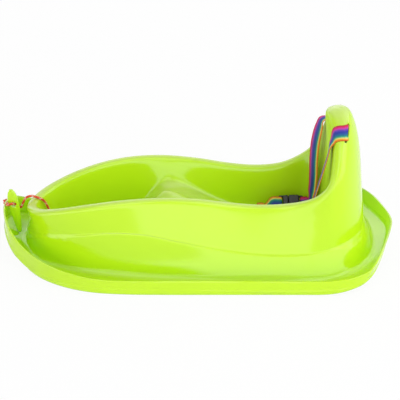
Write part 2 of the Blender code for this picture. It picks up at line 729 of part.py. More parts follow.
def make_belt(surface, frames):
    """The fixed part of the belt and the lead that moves with the plug."""
    side_width = (0.0, 1.0, 0.0)
    far = back_keys(frames, 1.0)
    near = back_keys(frames, -1.0)
    slot = far[0][0]
    down = far[0][0] - far[1][0]
    down /= np.linalg.norm(down)
    turned = slot + 0.022 * down
    low = turned[2] - 0.010
    cross = [
        (np.array([slot[0] + HOLLOW_SHIFT, -turned[1], turned[2]]), (1.0, 0.0, 0.0)),
        (np.array([slot[0] + HOLLOW_SHIFT, -0.016, low]), (1.0, 0.0, 0.0)),
        (np.array([slot[0] + HOLLOW_SHIFT, 0.016, low]), (1.0, 0.0, 0.0)),
        (np.array([slot[0] + HOLLOW_SHIFT, turned[1], turned[2]]), (1.0, 0.0, 0.0)),
    ]
    lean = (-0.13, -0.99, 0.0)
    near_hang = [
        ((0.2355, -0.0515, 0.2300), lean),
        ((0.2312, -0.0490, 0.2080), lean),
        ((0.2195, -0.0470, 0.1500), lean),
        ((0.2110, -0.0455, 0.1050), lean),
        ((0.2055, -0.0445, SEAT_HEIGHT + 0.0310), lean),
        ((0.1975, -0.0440, SEAT_HEIGHT + 0.0150), (0.0, -0.98, 0.20)),
        ((0.1870, -0.0440, SEAT_HEIGHT + 0.0100), (0.0, -0.90, 0.42)),
        ((0.1760, -0.0440, SEAT_HEIGHT + 0.0120), (0.0, -0.72, 0.70)),
        ((0.1660, -0.0440, SEAT_HEIGHT + 0.0150), (0.0, -0.55, 0.83)),
        ((BUCKLE_X - 0.022, -0.0440, SEAT_HEIGHT + 0.0150), (0.0, -0.50, 0.87)),
    ]
    turn = (-0.57, 0.80, 0.0)
    frame = buckle_matrix()
    level = frame.to_3x3() @ Vector(side_width)
    bar = SOCKET_LENGTH + BAR_SLOT + BAR_WIDTH / 2
    socket_loop = [(frame @ Vector(point), level) for point in bar_loop(bar, 1.0, 0.016)]
    far_hang = [
        ((0.2322, 0.0560, 0.2340), (-0.42, 0.72, -0.50)),
        ((0.2258, 0.0565, 0.2150), (-0.54, 0.83, -0.12)),
        ((0.2215, 0.0550, 0.1900), turn),
        ((0.2195, 0.0525, 0.1500), turn),
        ((0.2195, 0.0480, 0.1080), turn),
        ((0.2185, 0.0460, SEAT_HEIGHT + 0.0420), (-0.35, 0.90, 0.25)),
    ]
    keys = [(point, width) for point, width in near_hang[::-1]]
    keys += [(point, -width) for point, width in near[::-1]]
    keys += cross
    keys += far
    keys += far_hang
    keys += socket_loop
    fixed = []
    last = None
    for point, width in keys:
        width = np.array(width, float)
        if last is not None and np.dot(width, last) < 0:
            width = -width
        last = width
        fixed.append((np.array(point, float), width))
    webbing = strap("belt_webbing", fixed, surface)

    plug_bar = -(PLUG_LENGTH + BAR_SLOT + BAR_WIDTH / 2)
    plug_loop = [(frame @ Vector(point), level) for point in bar_loop(plug_bar, -1.0, 0.016)]
    start = np.array(near_hang[-1][0])
    lead = [
        (start - (GAP, 0.0, 0.0), near_hang[-1][1]),
        (start - (0.010, 0.0, 0.0), (0.0, -0.45, 0.89)),
        (start - (0.026, -0.006, -0.001), (0.0, -0.25, 0.97)),
        (start - (0.040, -0.024, -0.0015), (0.0, -0.08, 1.0)),
        ((BUCKLE_X - 0.0650, 0.0080, SEAT_HEIGHT + 0.0165), (0.0, 0.25, 0.97)),
        ((BUCKLE_X - 0.0560, 0.0270, SEAT_HEIGHT + 0.0140), (0.0, 0.68, 0.73)),
        ((BUCKLE_X - 0.0410, 0.0375, SEAT_HEIGHT + 0.0130), (0.0, 0.80, 0.60)),
    ]
    lead += plug_loop
    moving = strap("belt_lead", [(np.array(p, float), np.array(w, float)) for p, w in lead], surface)
    return webbing, moving


def box(name, low, high, surface, bevel=0.0):
    """A block between two corners, with its long edges rounded."""
    shape = bmesh.new()
    bmesh.ops.create_cube(shape, size=1.0)
    low = np.array(low, float)
    high = np.array(high, float)
    for vert in shape.verts:
        vert.co = Vector((low + high) / 2 + (high - low) * np.array(vert.co[:]))
    if bevel > 0.0:
        bmesh.ops.bevel(shape, geom=shape.edges[:], offset=bevel, segments=2, profile=0.5, affect="EDGES")
    return add_object(name, shape, surface)


def cut(target, tool, operation="DIFFERENCE"):
    """Cut the target by a guide body, or join the guide body to it."""
    tool.hide_render = True
    tool.display_type = "WIRE"
    change = target.modifiers.new(tool.name, "BOOLEAN")
    change.object = tool
    change.operation = operation
    change.solver = "EXACT"


def make_buckle(surface):
    """Socket and plug of the side release buckle."""
    half = BUCKLE_WIDTH / 2
    frame = buckle_matrix()
    high = SOCKET_HEIGHT / 2
    opening = half - SOCKET_WALL
    slot_half = WEBBING_WIDTH / 2 + 0.0008
    end = SOCKET_LENGTH + BAR_SLOT + BAR_WIDTH
    socket = box("buckle_socket", (0.0, -half, -high), (SOCKET_LENGTH, half, high), surface, 0.0024)
    tail = box("socket_frame", (SOCKET_LENGTH - 0.006, -half, -FRAME_HEIGHT / 2),
               (end, half, FRAME_HEIGHT / 2), surface, 0.0012)
    cut(socket, tail, "UNION")
    guides = [tail]
    hollow = high - 0.0022
    guides.append(box("socket_hollow", (-0.002, -opening, -hollow), (SOCKET_LENGTH - 0.003, opening, hollow), surface))
    window_end = PRONG_REACH + 0.0010
    for side in (-1.0, 1.0):
        ends = sorted((side * (opening - 0.002), side * (half + 0.002)))
        low = (window_end - WINDOW_LENGTH, ends[0], -hollow)
        top = (window_end, ends[1], hollow)
        guides.append(box("socket_window_" + ("near" if side < 0 else "far"), low, top, surface))
    slot_low = (SOCKET_LENGTH, -slot_half, -high)
    slot_high = (SOCKET_LENGTH + BAR_SLOT, slot_half, high)
    guides.append(box("socket_slot", slot_low, slot_high, surface))
    for guide in guides[1:]:
        cut(socket, guide)

    plug_high = PLUG_HEIGHT / 2
    plug = box("buckle_plug", (-PLUG_LENGTH, -half, -plug_high), (-GAP, half, plug_high), surface, 0.0022)
    tail = box("plug_frame", (-(PLUG_LENGTH + BAR_SLOT + BAR_WIDTH), -half, -FRAME_HEIGHT / 2),
               (-PLUG_LENGTH + 0.005, half, FRAME_HEIGHT / 2), surface, 0.0012)
    cut(plug, tail, "UNION")
    plug_guides = [tail]
    arm_high = hollow - PRONG_CLEARANCE
    for side in (-1.0, 1.0):
        outer = opening - PRONG_CLEARANCE
        arm = bmesh.new()
        outline = (
            (-0.004, outer - 0.0020 - PRONG_WIDTH),
            (PRONG_REACH - 0.0055, outer - 0.0024 - PRONG_WIDTH * 0.6),
            (PRONG_REACH - 0.0010, outer - 0.0024 - PRONG_WIDTH * 0.6),
            (PRONG_REACH, outer - 0.0030),
            (PRONG_REACH - 0.0015, outer - 0.0012),
            (PRONG_REACH - 0.0058, outer),
            (PRONG_REACH - 0.0066, outer - 0.0018),
            (-0.004, outer - 0.0020),
        )
        verts = [arm.verts.new((x, side * y, -arm_high)) for x, y in outline]
        face = arm.faces.new(verts)
        moved = bmesh.ops.extrude_face_region(arm, geom=[face])["geom"]
        lift = [item for item in moved if isinstance(item, bmesh.types.BMVert)]
        bmesh.ops.translate(arm, verts=lift, vec=(0.0, 0.0, 2.0 * arm_high))
        bmesh.ops.recalc_face_normals(arm, faces=arm.faces)
        guide = add_object("plug_prong_" + ("near" if side < 0 else "far"), arm, surface)
        cut(plug, guide, "UNION")
        plug_guides.append(guide)
    tongue = box("plug_tongue", (-0.004, -0.0025, -arm_high), (PRONG_REACH - 0.004, 0.0025, arm_high), surface)
    cut(plug, tongue, "UNION")
    plug_guides.append(tongue)
    slot = box("plug_slot", (-(PLUG_LENGTH + BAR_SLOT), -slot_half, -plug_high),
               (-PLUG_LENGTH, slot_half, plug_high), surface)
    cut(plug, slot)
    plug_guides.append(slot)
    for thing in [socket, plug] + guides + plug_guides:
        thing.matrix_world = frame


def tube(name, route, radius, surface, resolution):
    """A round cord along a route."""
    curve = bpy.data.curves.new(name, "CURVE")
    curve.dimensions = "3D"
    curve.bevel_depth = radius
    curve.bevel_resolution = resolution
    curve.use_fill_caps = True
    spline = curve.splines.new("POLY")
    spline.points.add(len(route) - 1)
    for target, point in zip(spline.points, route):
        target.co = (*point, 1.0)
    curve.materials.append(surface)
    thing = bpy.data.objects.new(name, curve)
    bpy.context.scene.collection.objects.link(thing)
    return thing


def coil_heights():
    """Heights of the lower and upper layer of the coil over the foot well's floor."""
    low = WALL + GAP + TIE_THICKNESS + TIE_CLEARANCE + ROPE_DIAMETER / 2
    return low, low + COIL_LAYER


def coil_route():
    """The rope put away in two layers, wound in on top and out again below."""
    low, high = coil_heights()
    half = COIL_TURNS / 2
    route = []
    steps = COIL_TURNS * COIL_POINTS
    for k in range(steps + 1):
        turn = k / COIL_POINTS
        away = abs(turn - half)
        if away < 0.25:
            radius = COIL_INNER_RADIUS + COIL_PITCH * away * away / 0.5
            share = (turn - half + 0.25) / 0.5
            height = high + (low - high) * share * share * (3.0 - 2.0 * share)
        else:
            radius = COIL_INNER_RADIUS + COIL_PITCH * (away - 0.125)
            height = high if turn < half else low
        angle = math.pi / 2 - 2.0 * math.pi * turn
        route.append((COIL_CENTRE[0] + radius * math.cos(angle),
                      COIL_CENTRE[1] + radius * math.sin(angle), height))
    first = np.array(route[0]) - np.array((ROPE_DIAMETER, 0.0, 0.0))
    outer = COIL_INNER_RADIUS + COIL_PITCH * (half - 0.125)
    loose = []
    for k in range(1, 5):
        turn = k * 0.035
        radius = outer + COIL_PITCH * turn + 0.012 * (turn / 0.14) ** 2
        angle = math.pi / 2 - 2.0 * math.pi * turn
        loose.append(np.array((COIL_CENTRE[0] + radius * math.cos(angle),
                               COIL_CENTRE[1] + radius * math.sin(angle), low)))
    route = [first] + [np.array(point) for point in route] + loose
    heading = (route[-1] - route[-2]) / np.linalg.norm(route[-1] - route[-2])
    route.append(route[-1] + heading * ROPE_DIAMETER)
    return np.array(route), heading


def least_gap(route, diameter):
    """Smallest clear distance between the turns of a tube."""
    fine = np.vstack([route[:-1] + (route[1:] - route[:-1]) * share for share in (0.0, 0.25, 0.5, 0.75)])
    order = np.concatenate([np.arange(len(route) - 1) + share for share in (0.0, 0.25, 0.5, 0.75)])
    fine = fine[np.argsort(order)]
    length = arc_length(fine)
    least = 1.0
    for i in range(len(fine)):
        apart = np.abs(length - length[i]) > 6.0 * diameter
        distance = np.linalg.norm(fine[apart] - fine[i], axis=1)
        least = min(least, distance.min())
    return least - diameter


def turned(name, profile, surface, sides=16):
    """A body turned round the X axis: each profile point is a place along X and a radius."""
    shape = bmesh.new()
    rows = []
    for x, radius in profile:
        rows.append([
            shape.verts.new((x, radius * math.cos(2 * math.pi * k / sides), radius * math.sin(2 * math.pi * k / sides)))
            for k in range(sides)
        ])
    for low, high in zip(rows[:-1], rows[1:]):
        for i in range(sides):
            j = (i + 1) % sides
            shape.faces.new((low[i], low[j], high[j], high[i]))
    shape.faces.new(rows[0])
    shape.faces.new(rows[-1])
    bmesh.ops.recalc_face_normals(shape, faces=shape.faces)
    thing = add_object(name, shape, surface)
    thing.data.shade_smooth()
    thing.data.set_sharp_from_angle(angle=math.radians(40.0))
    return thing


def knot(name, start, direction, surface):
    """A pulled tight stopper knot whose flat face meets the rope."""
    profile = []
    for share in (0.0, 0.10, 0.26, 0.42, 0.58, 0.74, 0.90, 1.0):
        swell = math.sin(math.pi * share)
        radius = KNOT_FACE_DIAMETER / 2 + (KNOT_DIAMETER - KNOT_FACE_DIAMETER) / 2 * min(1.0, 1.25 * swell)
        profile.append((share * KNOT_LENGTH, radius))
    thing = turned(name, profile, surface)
    aim = Vector(direction).to_track_quat("X", "Z")
    thing.matrix_world = Matrix.Translation(Vector(start)) @ aim.to_matrix().to_4x4()
    return thing


def make_tie(surface):
    """A band round the coil on the near side."""
    low, high = coil_heights()
    half = COIL_TURNS / 2
    inner = COIL_INNER_RADIUS + COIL_PITCH * 0.375 - ROPE_DIAMETER / 2 - TIE_CLEARANCE - 0.0004
    outer = COIL_INNER_RADIUS + COIL_PITCH * (half - 0.625) + ROPE_DIAMETER / 2 + TIE_CLEARANCE
    bottom = low - ROPE_DIAMETER / 2 - TIE_CLEARANCE
    top = high + ROPE_DIAMETER / 2 + TIE_CLEARANCE
    corner = ROPE_DIAMETER / 2
    loops = []
    for grow in (0.0, TIE_THICKNESS):
        loop = []
        for y, z, quarter in ((outer, top, 0), (inner, top, 1), (inner, bottom, 2), (outer, bottom, 3)):
            middle_y = y - corner if y == outer else y + corner
            middle_z = z - corner if z == top else z + corner
            for k in range(5):
                angle = math.pi / 2 * (quarter + k / 4)
                reach = corner + grow
                loop.append((middle_y + reach * math.cos(angle), middle_z + reach * math.sin(angle)))
        loops.append(loop)
    shape = bmesh.new()
    rows = []
    for x, loop in ((-1, 0), (1, 0), (1, 1), (-1, 1)):
        rows.append([
            shape.verts.new((COIL_CENTRE[0] + x * TIE_WIDTH / 2, COIL_CENTRE[1] - y, z)) for y, z in loops[loop]
        ])
    count = len(rows[0])
    for a in range(4):
        b = (a + 1) % 4
        for i in range(count):
            j = (i + 1) % count
            shape.faces.new((rows[a][i], rows[a][j], rows[b][j], rows[b][i]))
    bmesh.ops.recalc_face_normals(shape, faces=shape.faces)
    return add_object("coil_tie", shape, surface)


def grip_frame(trough_line):
    """Foot of the pull grip and its three directions: across, along and out of its face."""
    lowest = np.argmin(trough_line[:, 2])
    uphill = trough_line[:lowest + 1]
    foot_z = np.interp(GRIP_FOOT[0] - GRIP_OUTLINE[1][1], uphill[:, 0], uphill[:, 2]) + GAP
    foot = np.array([GRIP_FOOT[0], GRIP_FOOT[1], foot_z])
    lean = np.array([GRIP_TOP[0] - GRIP_FOOT[0], GRIP_TOP[1] - GRIP_FOOT[1]])
    rise = math.sqrt(GRIP_LENGTH**2 - np.dot(lean, lean))
    along = np.array([lean[0], lean[1], rise]) / GRIP_LENGTH
    face = np.array([0.0, -1.0, 0.0])
    face -= along * np.dot(face, along)
    face /= np.linalg.norm(face)
    return foot, np.cross(along, face), along, face


def make_grip(surface, trough_line):
    """The leaf shaped pull grip, with a ridge down its face and an eye for the rope."""
    foot, across, along, face = grip_frame(trough_line)
    profile = smooth_profile(np.array(GRIP_OUTLINE), 3)
    shape = bmesh.new()
    rows = []
    for share, half in profile:
        edge = 0.45 * GRIP_THICKNESS / 2
        ridge = GRIP_THICKNESS / 2
        section = ((half, edge), (0.0, ridge), (-half, edge), (-half, -edge), (0.0, -ridge), (half, -edge))
        spot = foot + along * share * GRIP_LENGTH
        rows.append([shape.verts.new(spot + across * u + face * v) for u, v in section])
    around = len(rows[0])
    for low, high in zip(rows[:-1], rows[1:]):
        for i in range(around):
            j = (i + 1) % around
            shape.faces.new((low[i], low[j], high[j], high[i]))
    shape.faces.new(rows[0])
    shape.faces.new(rows[-1])
    bmesh.ops.recalc_face_normals(shape, faces=shape.faces)
    grip = add_object("tow_grip", shape, surface)
    eye = foot + along * GRIP_EYE_SHARE * GRIP_LENGTH
    drill = bmesh.new()
    bmesh.ops.create_cone(drill, cap_ends=True, segments=20, radius1=GRIP_EYE_DIAMETER / 2,
                          radius2=GRIP_EYE_DIAMETER / 2, depth=0.03)
    tool = add_object("grip_eye", drill, surface)
    tool.matrix_world = Matrix.Translation(Vector(eye)) @ Vector(face).to_track_quat("Z", "X").to_matrix().to_4x4()
    cut(grip, tool)
    return grip, eye, face


def make_rope(surface, hole, outward, eye, face):
    """The tow rope: knotted outside the lip, through the grip's eye, over the rim, to the coil."""
    through = WALL + GAP
    begin = hole + outward * through
    coil, heading = coil_route()
    arrive = coil[0] - np.array((GAP, 0.0, 0.0))
    route = [
        begin - outward * ROPE_DIAMETER,
        hole - outward * 0.0045 + np.array((0.0, -0.002, 0.0005)),
        (-0.3620, 0.0050, 0.0820),
        (-0.3590, -0.0070, 0.0845),
        eye + face * 0.0065 + np.array((-0.0030, 0.0, 0.0032)),
        eye,
        eye - face * 0.0070 + np.array((0.0035, 0.0, -0.0040)),
        (-0.3385, 0.0115, 0.0705),
        (-0.3320, 0.0105, 0.0825),
        (-0.3250, 0.0110, 0.0920),
        (-0.3170, 0.0120, 0.0940),
        (-0.3070, 0.0135, 0.0910),
        (-0.2945, 0.0150, 0.0830),
        (-0.2865, 0.0170, 0.0650),
        (-0.2795, 0.0200, 0.0430),
        (-0.2690, 0.0240, 0.0240),
        (-0.2520, 0.0310, coil[0][2] + 0.0015),
        (-0.2320, coil[0][1], coil[0][2]),
        arrive - np.array((ROPE_DIAMETER, 0.0, 0.0)),
    ]
    line = open_curve([np.array(point, float) for point in route], 16)
    length = arc_length(line)
    count = max(2, round(length[-1] / ROPE_STEP))
    wanted = np.linspace(0.0, length[-1], count + 1)
    free = np.vstack([begin, pick(line, length, wanted), arrive])
    tube("tow_rope", free, ROPE_DIAMETER / 2, surface, 2)
    tube("tow_rope_coil", coil, ROPE_DIAMETER / 2, surface, 1)
    knot("rope_nose_knot", begin + outward * GAP, outward, surface)
    lift = KNOT_DIAMETER / 2 + WALL + GAP - coil[-1][2]
    knot("rope_end_knot", coil[-1] + heading * GAP + np.array((0.0, 0.0, max(0.0, lift))), heading, surface)
    print("tow rope: free stretch %.3f m, coil %.3f m" % (arc_length(free)[-1], arc_length(coil)[-1]))
    print("least gap between the coil's turns: %.2f mm" % (1000 * least_gap(coil, ROPE_DIAMETER)))


def main():
    for thing in list(bpy.data.objects):
        bpy.data.objects.remove(thing, do_unlink=True)
    lime = material("lime plastic", (0.45, 0.83, 0.02), 0.25)
    black = material("black plastic", (0.02, 0.02, 0.022), 0.4)
    tape = material("striped webbing", (0.10, 0.24, 0.60), 0.8)
    cord = material("red rope", (0.75, 0.10, 0.05), 0.85)
    band = material("black tie", (0.03, 0.03, 0.03), 0.8)
    frames = rim_frames()
    shell, hole, outward, trough_line = make_shell(lime, frames)
    make_belt(tape, frames)
    make_buckle(black)
    grip, eye, face = make_grip(lime, trough_line)
    make_rope(cord, hole, outward, eye, face)
    make_tie(band)


main()
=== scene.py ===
import math

import bmesh
import bpy
import numpy as np
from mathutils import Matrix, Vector
from mathutils.bvhtree import BVHTree
from mathutils.kdtree import KDTree


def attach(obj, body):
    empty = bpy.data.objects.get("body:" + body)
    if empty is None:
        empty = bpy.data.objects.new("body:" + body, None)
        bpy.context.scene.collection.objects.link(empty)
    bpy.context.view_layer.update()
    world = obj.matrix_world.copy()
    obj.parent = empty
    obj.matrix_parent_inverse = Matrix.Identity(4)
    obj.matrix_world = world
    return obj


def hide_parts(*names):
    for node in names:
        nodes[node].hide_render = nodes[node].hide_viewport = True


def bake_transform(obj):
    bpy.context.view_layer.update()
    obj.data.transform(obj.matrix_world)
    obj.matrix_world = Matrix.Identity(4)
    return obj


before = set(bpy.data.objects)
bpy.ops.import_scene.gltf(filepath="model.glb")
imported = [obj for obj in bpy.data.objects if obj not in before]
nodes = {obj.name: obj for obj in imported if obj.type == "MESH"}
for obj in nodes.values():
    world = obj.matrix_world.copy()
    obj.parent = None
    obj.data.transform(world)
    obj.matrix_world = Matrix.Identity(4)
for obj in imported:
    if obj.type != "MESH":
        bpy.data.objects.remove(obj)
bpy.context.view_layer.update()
bpy.ops.object.select_all(action="DESELECT")

# Camera at the photograph's angle
CAMERA_ELEVATION = 27.3
CAMERA_DISTANCE = 1.84
CAMERA_TARGET = Vector((0.0035, 0.0, 0.0916))
CAMERA_SENSOR = 36.0
CAMERA_LENS = 87.77
CAMERA_NEAREST = 0.05
CAMERA_FARTHEST = 60.0

# Copies of the CAD solids: doubles are merged, and flat triangles joined up to this angle
MERGE_WITHIN = 0.00001
QUAD_ANGLE = math.radians(60.0)

# Tow rope, from its hole in the nose through the grip and over the rim to the coil
ROPE_DIAMETER = 0.0045
ROPE_STEP = 0.0009
ROPE_SIDES = 24
ROPE_SPAN_POINTS = 16
BRAID_STRANDS = 8
BRAID_PITCH = 0.0150
BRAID_RELIEF = 0.00022
BRAID_LEVEL = 0.75
ROPE_ROUTE = (
    (-0.36023, 0.02543, 0.07405),
    (-0.35700, 0.02276, 0.07455),
    (-0.36200, 0.00500, 0.08200),
    (-0.35900, -0.00700, 0.08450),
    (-0.35214, -0.00319, 0.08509),
    (-0.34909, 0.00330, 0.08152),
    (-0.34554, 0.01029, 0.07713),
    (-0.33850, 0.01150, 0.07050),
    (-0.33200, 0.01050, 0.08250),
    (-0.32500, 0.01100, 0.09200),
    (-0.31700, 0.01200, 0.09400),
    (-0.30700, 0.01350, 0.09100),
    (-0.29450, 0.01500, 0.08300),
    (-0.28650, 0.01700, 0.06500),
    (-0.27950, 0.02000, 0.04300),
    (-0.26900, 0.02400, 0.02400),
    (-0.25200, 0.03100, 0.01365),
    (-0.23200, 0.03402, 0.01215),
    (-0.22230, 0.03402, 0.01215),
)

# Stopper knots: where each starts and which way it points
NOSE_KNOT = ((-0.364931, 0.026409, 0.074048), (-0.978999, 0.203867, 0.0))
END_KNOT = ((-0.172316, 0.028586, 0.0094), (0.966411, -0.257003, 0.0))
KNOT_LENGTH = 0.0100
KNOT_DIAMETER = 0.0122
KNOT_YARN = 0.0040
KNOT_POINTS = 96
KNOT_SIDES = 16
KNOT_CURVE_WIDTH = 6.0
KNOT_STRETCH = 1.6
# A cord this close to upright, as a sine, takes its first side from another axis
NEARLY_UPRIGHT = 0.2

# Coil of rope in the foot well, in two layers, with a short loose end
COIL_CENTRE = (-0.213, 0.0)
COIL_INNER_RADIUS = 0.0185
COIL_PITCH = 0.0054
COIL_LAYER = 0.0052
COIL_TURNS = 6
COIL_POINTS = 24
COIL_SPAN_POINTS = 6
COIL_LOW = 0.00695
COIL_CROSSING = 0.25
LOOSE_POINTS = 4
LOOSE_TURN = 0.035
LOOSE_SPREAD = 0.012
TIE_EDGE = 0.0002

# Belt tape, from the middle of the hollow back: point and direction of its width
TAPE_WIDTH = 0.030
TAPE_THICKNESS = 0.0016
TAPE_STEP = 0.002
TAPE_COLUMNS = 12
TAPE_SPAN_POINTS = 12
SELVEDGE_SHARE = 0.125
SELVEDGE_THIN = 0.6
SLOT_ROUTE = (
    (0.26580, 0.00000, 0.21953, -1.00000, 0.00000, 0.00000),
    (0.26580, 0.01600, 0.22053, -1.00000, 0.00000, 0.00000),
    (0.26580, 0.02925, 0.23053, -1.00000, 0.00000, 0.00000),
    (0.25660, 0.04384, 0.24353, -0.15044, 0.71368, -0.68412),
    (0.26120, 0.05048, 0.24944, -0.15044, 0.71368, -0.68412),
    (0.26332, 0.05384, 0.25247, -0.15044, 0.71368, -0.68412),
    (0.26314, 0.05537, 0.25411, -0.15044, 0.71368, -0.68412),
    (0.25900, 0.05720, 0.25370, -0.10000, 0.71000, -0.69000),
    (0.25400, 0.05640, 0.25290, -0.05000, 0.71400, -0.70000),
    (0.24900, 0.05560, 0.25200, -0.05000, 0.72000, -0.69000),
    (0.24350, 0.05430, 0.25020, -0.06000, 0.74000, -0.66000),
    (0.23850, 0.05270, 0.24660, -0.06000, 0.76000, -0.64000),
    (0.23550, 0.05150, 0.24100, -0.06000, 0.80000, -0.60000),
)
FAR_ROUTE = (
    (0.23170, 0.05250, 0.23550, -0.18000, 0.88000, -0.42000),
    (0.22720, 0.05370, 0.21900, -0.36000, 0.92000, -0.14000),
    (0.22180, 0.05420, 0.18700, -0.44000, 0.89800, 0.00000),
    (0.22030, 0.05300, 0.15000, -0.44000, 0.89800, 0.00000),
    (0.22080, 0.05000, 0.11500, -0.44000, 0.89800, 0.00000),
    (0.21930, 0.04650, 0.08700, -0.30000, 0.92000, 0.25000),
    (0.21350, 0.04290, 0.06319, 0.00000, 0.84805, 0.52992),
    (0.20750, 0.04333, 0.06251, 0.00000, 0.84805, 0.52992),
    (0.20250, 0.04343, 0.06234, 0.00000, 0.84805, 0.52992),
    (0.19988, 0.04404, 0.06137, 0.00000, 0.84805, 0.52992),
    (0.19880, 0.04550, 0.05903, 0.00000, 0.84805, 0.52992),
    (0.19988, 0.04696, 0.05669, 0.00000, 0.84805, 0.52992),
    (0.20250, 0.04757, 0.05573, 0.00000, 0.84805, 0.52992),
    (0.20850, 0.04757, 0.05573, 0.00000, 0.84805, 0.52992),
    (0.21850, 0.04767, 0.05556, 0.00000, 0.84805, 0.52992),
)
NEAR_ROUTE = (
    (0.23450, -0.05030, 0.22900, -0.10000, -0.95000, -0.28000),
    (0.23350, -0.04950, 0.21500, -0.13000, -0.99000, 0.00000),
    (0.22640, -0.04800, 0.17760, -0.13000, -0.99000, 0.00000),
    (0.21700, -0.04670, 0.13580, -0.13000, -0.99000, 0.00000),
    (0.21100, -0.04550, 0.10500, -0.13000, -0.99000, 0.00000),
    (0.20550, -0.04450, 0.07500, -0.13000, -0.99000, 0.00000),
    (0.19750, -0.04400, 0.05900, 0.00000, -0.97980, 0.19996),
    (0.18700, -0.04400, 0.05400, 0.00000, -0.90618, 0.42289),
    (0.17600, -0.04400, 0.05600, 0.00000, -0.71699, 0.69708),
    (0.16600, -0.04400, 0.05900, 0.00000, -0.55238, 0.83359),
    (0.15400, -0.04400, 0.05900, 0.00000, -0.49828, 0.86701),
    (0.14400, -0.04400, 0.05900, 0.00000, -0.45122, 0.89241),
    (0.12800, -0.03800, 0.06000, 0.00000, -0.24958, 0.96836),
    (0.11400, -0.02000, 0.06050, 0.00000, -0.07975, 0.99682),
    (0.11100, 0.00800, 0.06050, 0.00000, 0.24958, 0.96836),
    (0.12000, 0.02700, 0.05600, 0.00000, 0.75000, 0.66000),
    (0.13500, 0.03750, 0.05300, 0.00000, 0.84000, 0.54000),
    (0.14800, 0.04290, 0.06319, 0.00000, 0.84805, 0.52992),
    (0.15400, 0.04333, 0.06251, 0.00000, 0.84805, 0.52992),
    (0.15900, 0.04343, 0.06234, 0.00000, 0.84805, 0.52992),
    (0.16162, 0.04404, 0.06137, 0.00000, 0.84805, 0.52992),
    (0.16270, 0.04550, 0.05903, 0.00000, 0.84805, 0.52992),
    (0.16162, 0.04696, 0.05669, 0.00000, 0.84805, 0.52992),
    (0.15900, 0.04757, 0.05573, 0.00000, 0.84805, 0.52992),
    (0.15300, 0.04757, 0.05573, 0.00000, 0.84805, 0.52992),
    (0.14300, 0.04767, 0.05556, 0.00000, 0.84805, 0.52992),
)
# Keys of a route between which the tape lies on the rim: from the slot to the front edge
TAPE_ON_RIM = (6, 12)
TAPE_CLEAR = 0.0003
RIM_EASE_IN = 0.5
RIM_EASE_OUT = 1.4
RIM_REACH = 0.012

# Buckle halves: CAD node, name and body
BUCKLE_HALVES = (
    ("buckle_socket", "buckle_body", "sled"),
    ("buckle_plug", "buckle_prongs", "belt_end"),
)
BUCKLE_EDGE = 0.0005
BUCKLE_EDGE_ANGLE = math.radians(35.0)

# Pull grip: raised field on its two broad sides, and rounded edges
GRIP_FACING = 0.9
GRIP_FIELD_INSET = 0.0026
GRIP_FIELD_RISE = 0.0008
GRIP_EDGE = 0.0007
GRIP_EDGE_ANGLE = math.radians(25.0)

# Ledge in the outer wall along the crease: x, half width, height
CREASE_LINE = (
    (-0.3190, 0.0000, 0.0400),
    (-0.3020, 0.0530, 0.0470),
    (-0.2700, 0.0760, 0.0580),
    (-0.2400, 0.0890, 0.0650),
    (-0.2000, 0.0995, 0.0740),
    (-0.1500, 0.1090, 0.0820),
    (-0.1000, 0.1160, 0.0830),
    (-0.0350, 0.1220, 0.0720),
    (0.0500, 0.1260, 0.0560),
    (0.1260, 0.1290, 0.0485),
    (0.2150, 0.1270, 0.0520),
    (0.2560, 0.1150, 0.0575),
    (0.2930, 0.0720, 0.0515),
    (0.3120, 0.0000, 0.0490),
)
CREASE_STEP = 0.0024
CREASE_TOP = 0.0004
CREASE_ROUND = 0.0028
CREASE_FADE = 0.030
CREASE_REACH = 0.034
CREASE_FINE = 0.0070

# Narrow groove between the lip's two bands: x, half width, height
LIP_GROOVE = (
    (-0.3695, 0.0000, 0.0557),
    (-0.3640, 0.0340, 0.0481),
    (-0.3540, 0.0625, 0.0365),
    (-0.3385, 0.0830, 0.0233),
    (-0.3170, 0.1040, 0.0131),
    (-0.2850, 0.1360, 0.0092),
    (-0.2400, 0.1650, 0.0092),
    (-0.1900, 0.1825, 0.0092),
    (-0.1300, 0.1890, 0.0092),
    (0.0000, 0.1910, 0.0092),
    (0.2300, 0.1910, 0.0092),
    (0.2720, 0.1880, 0.0172),
    (0.3010, 0.1770, 0.0239),
    (0.3180, 0.1560, 0.0279),
    (0.3310, 0.1280, 0.0310),
    (0.3460, 0.0900, 0.0345),
    (0.3600, 0.0450, 0.0379),
    (0.3695, 0.0000, 0.0402),
)
GROOVE_DEPTH = 0.0014
GROOVE_HALF = 0.0018
GROOVE_REACH = 0.012
WALL_SPAN_POINTS = 40
OUTER_FACE_FACING = 0.3

# Band over the back: its middle as distances from the middle plane and x, and how it fills out
BAND_MIDDLE = ((0.000, 0.0300, 0.0540, 0.0740, 0.0890), (0.2588, 0.2580, 0.2550, 0.2490, 0.2425))
BAND_HALF = 0.0195
BAND_FULLNESS = 0.0130
BAND_FROM_X = 0.2
BAND_FULL_FROM_Z = 0.180
BAND_FULL_Z = 0.248
BAND_FRONT_LEAD = 0.1
BAND_SIDE_FROM = 0.012
BAND_SIDE_OVER = 0.036
BAND_SIDE_LOSS = 0.8

# Edges that stay crisp: the lip's, beyond these places, and those of cut openings
LIP_REACH = 0.165
LIP_NOSE_X = -0.335
LIP_TAIL_X = 0.33
LIP_EDGE_ANGLE = math.radians(24.0)
LIP_EDGE_HOLD = 0.92
CUT_EDGE_ANGLE = math.radians(62.0)
CUT_EDGE_HOLD = 0.6
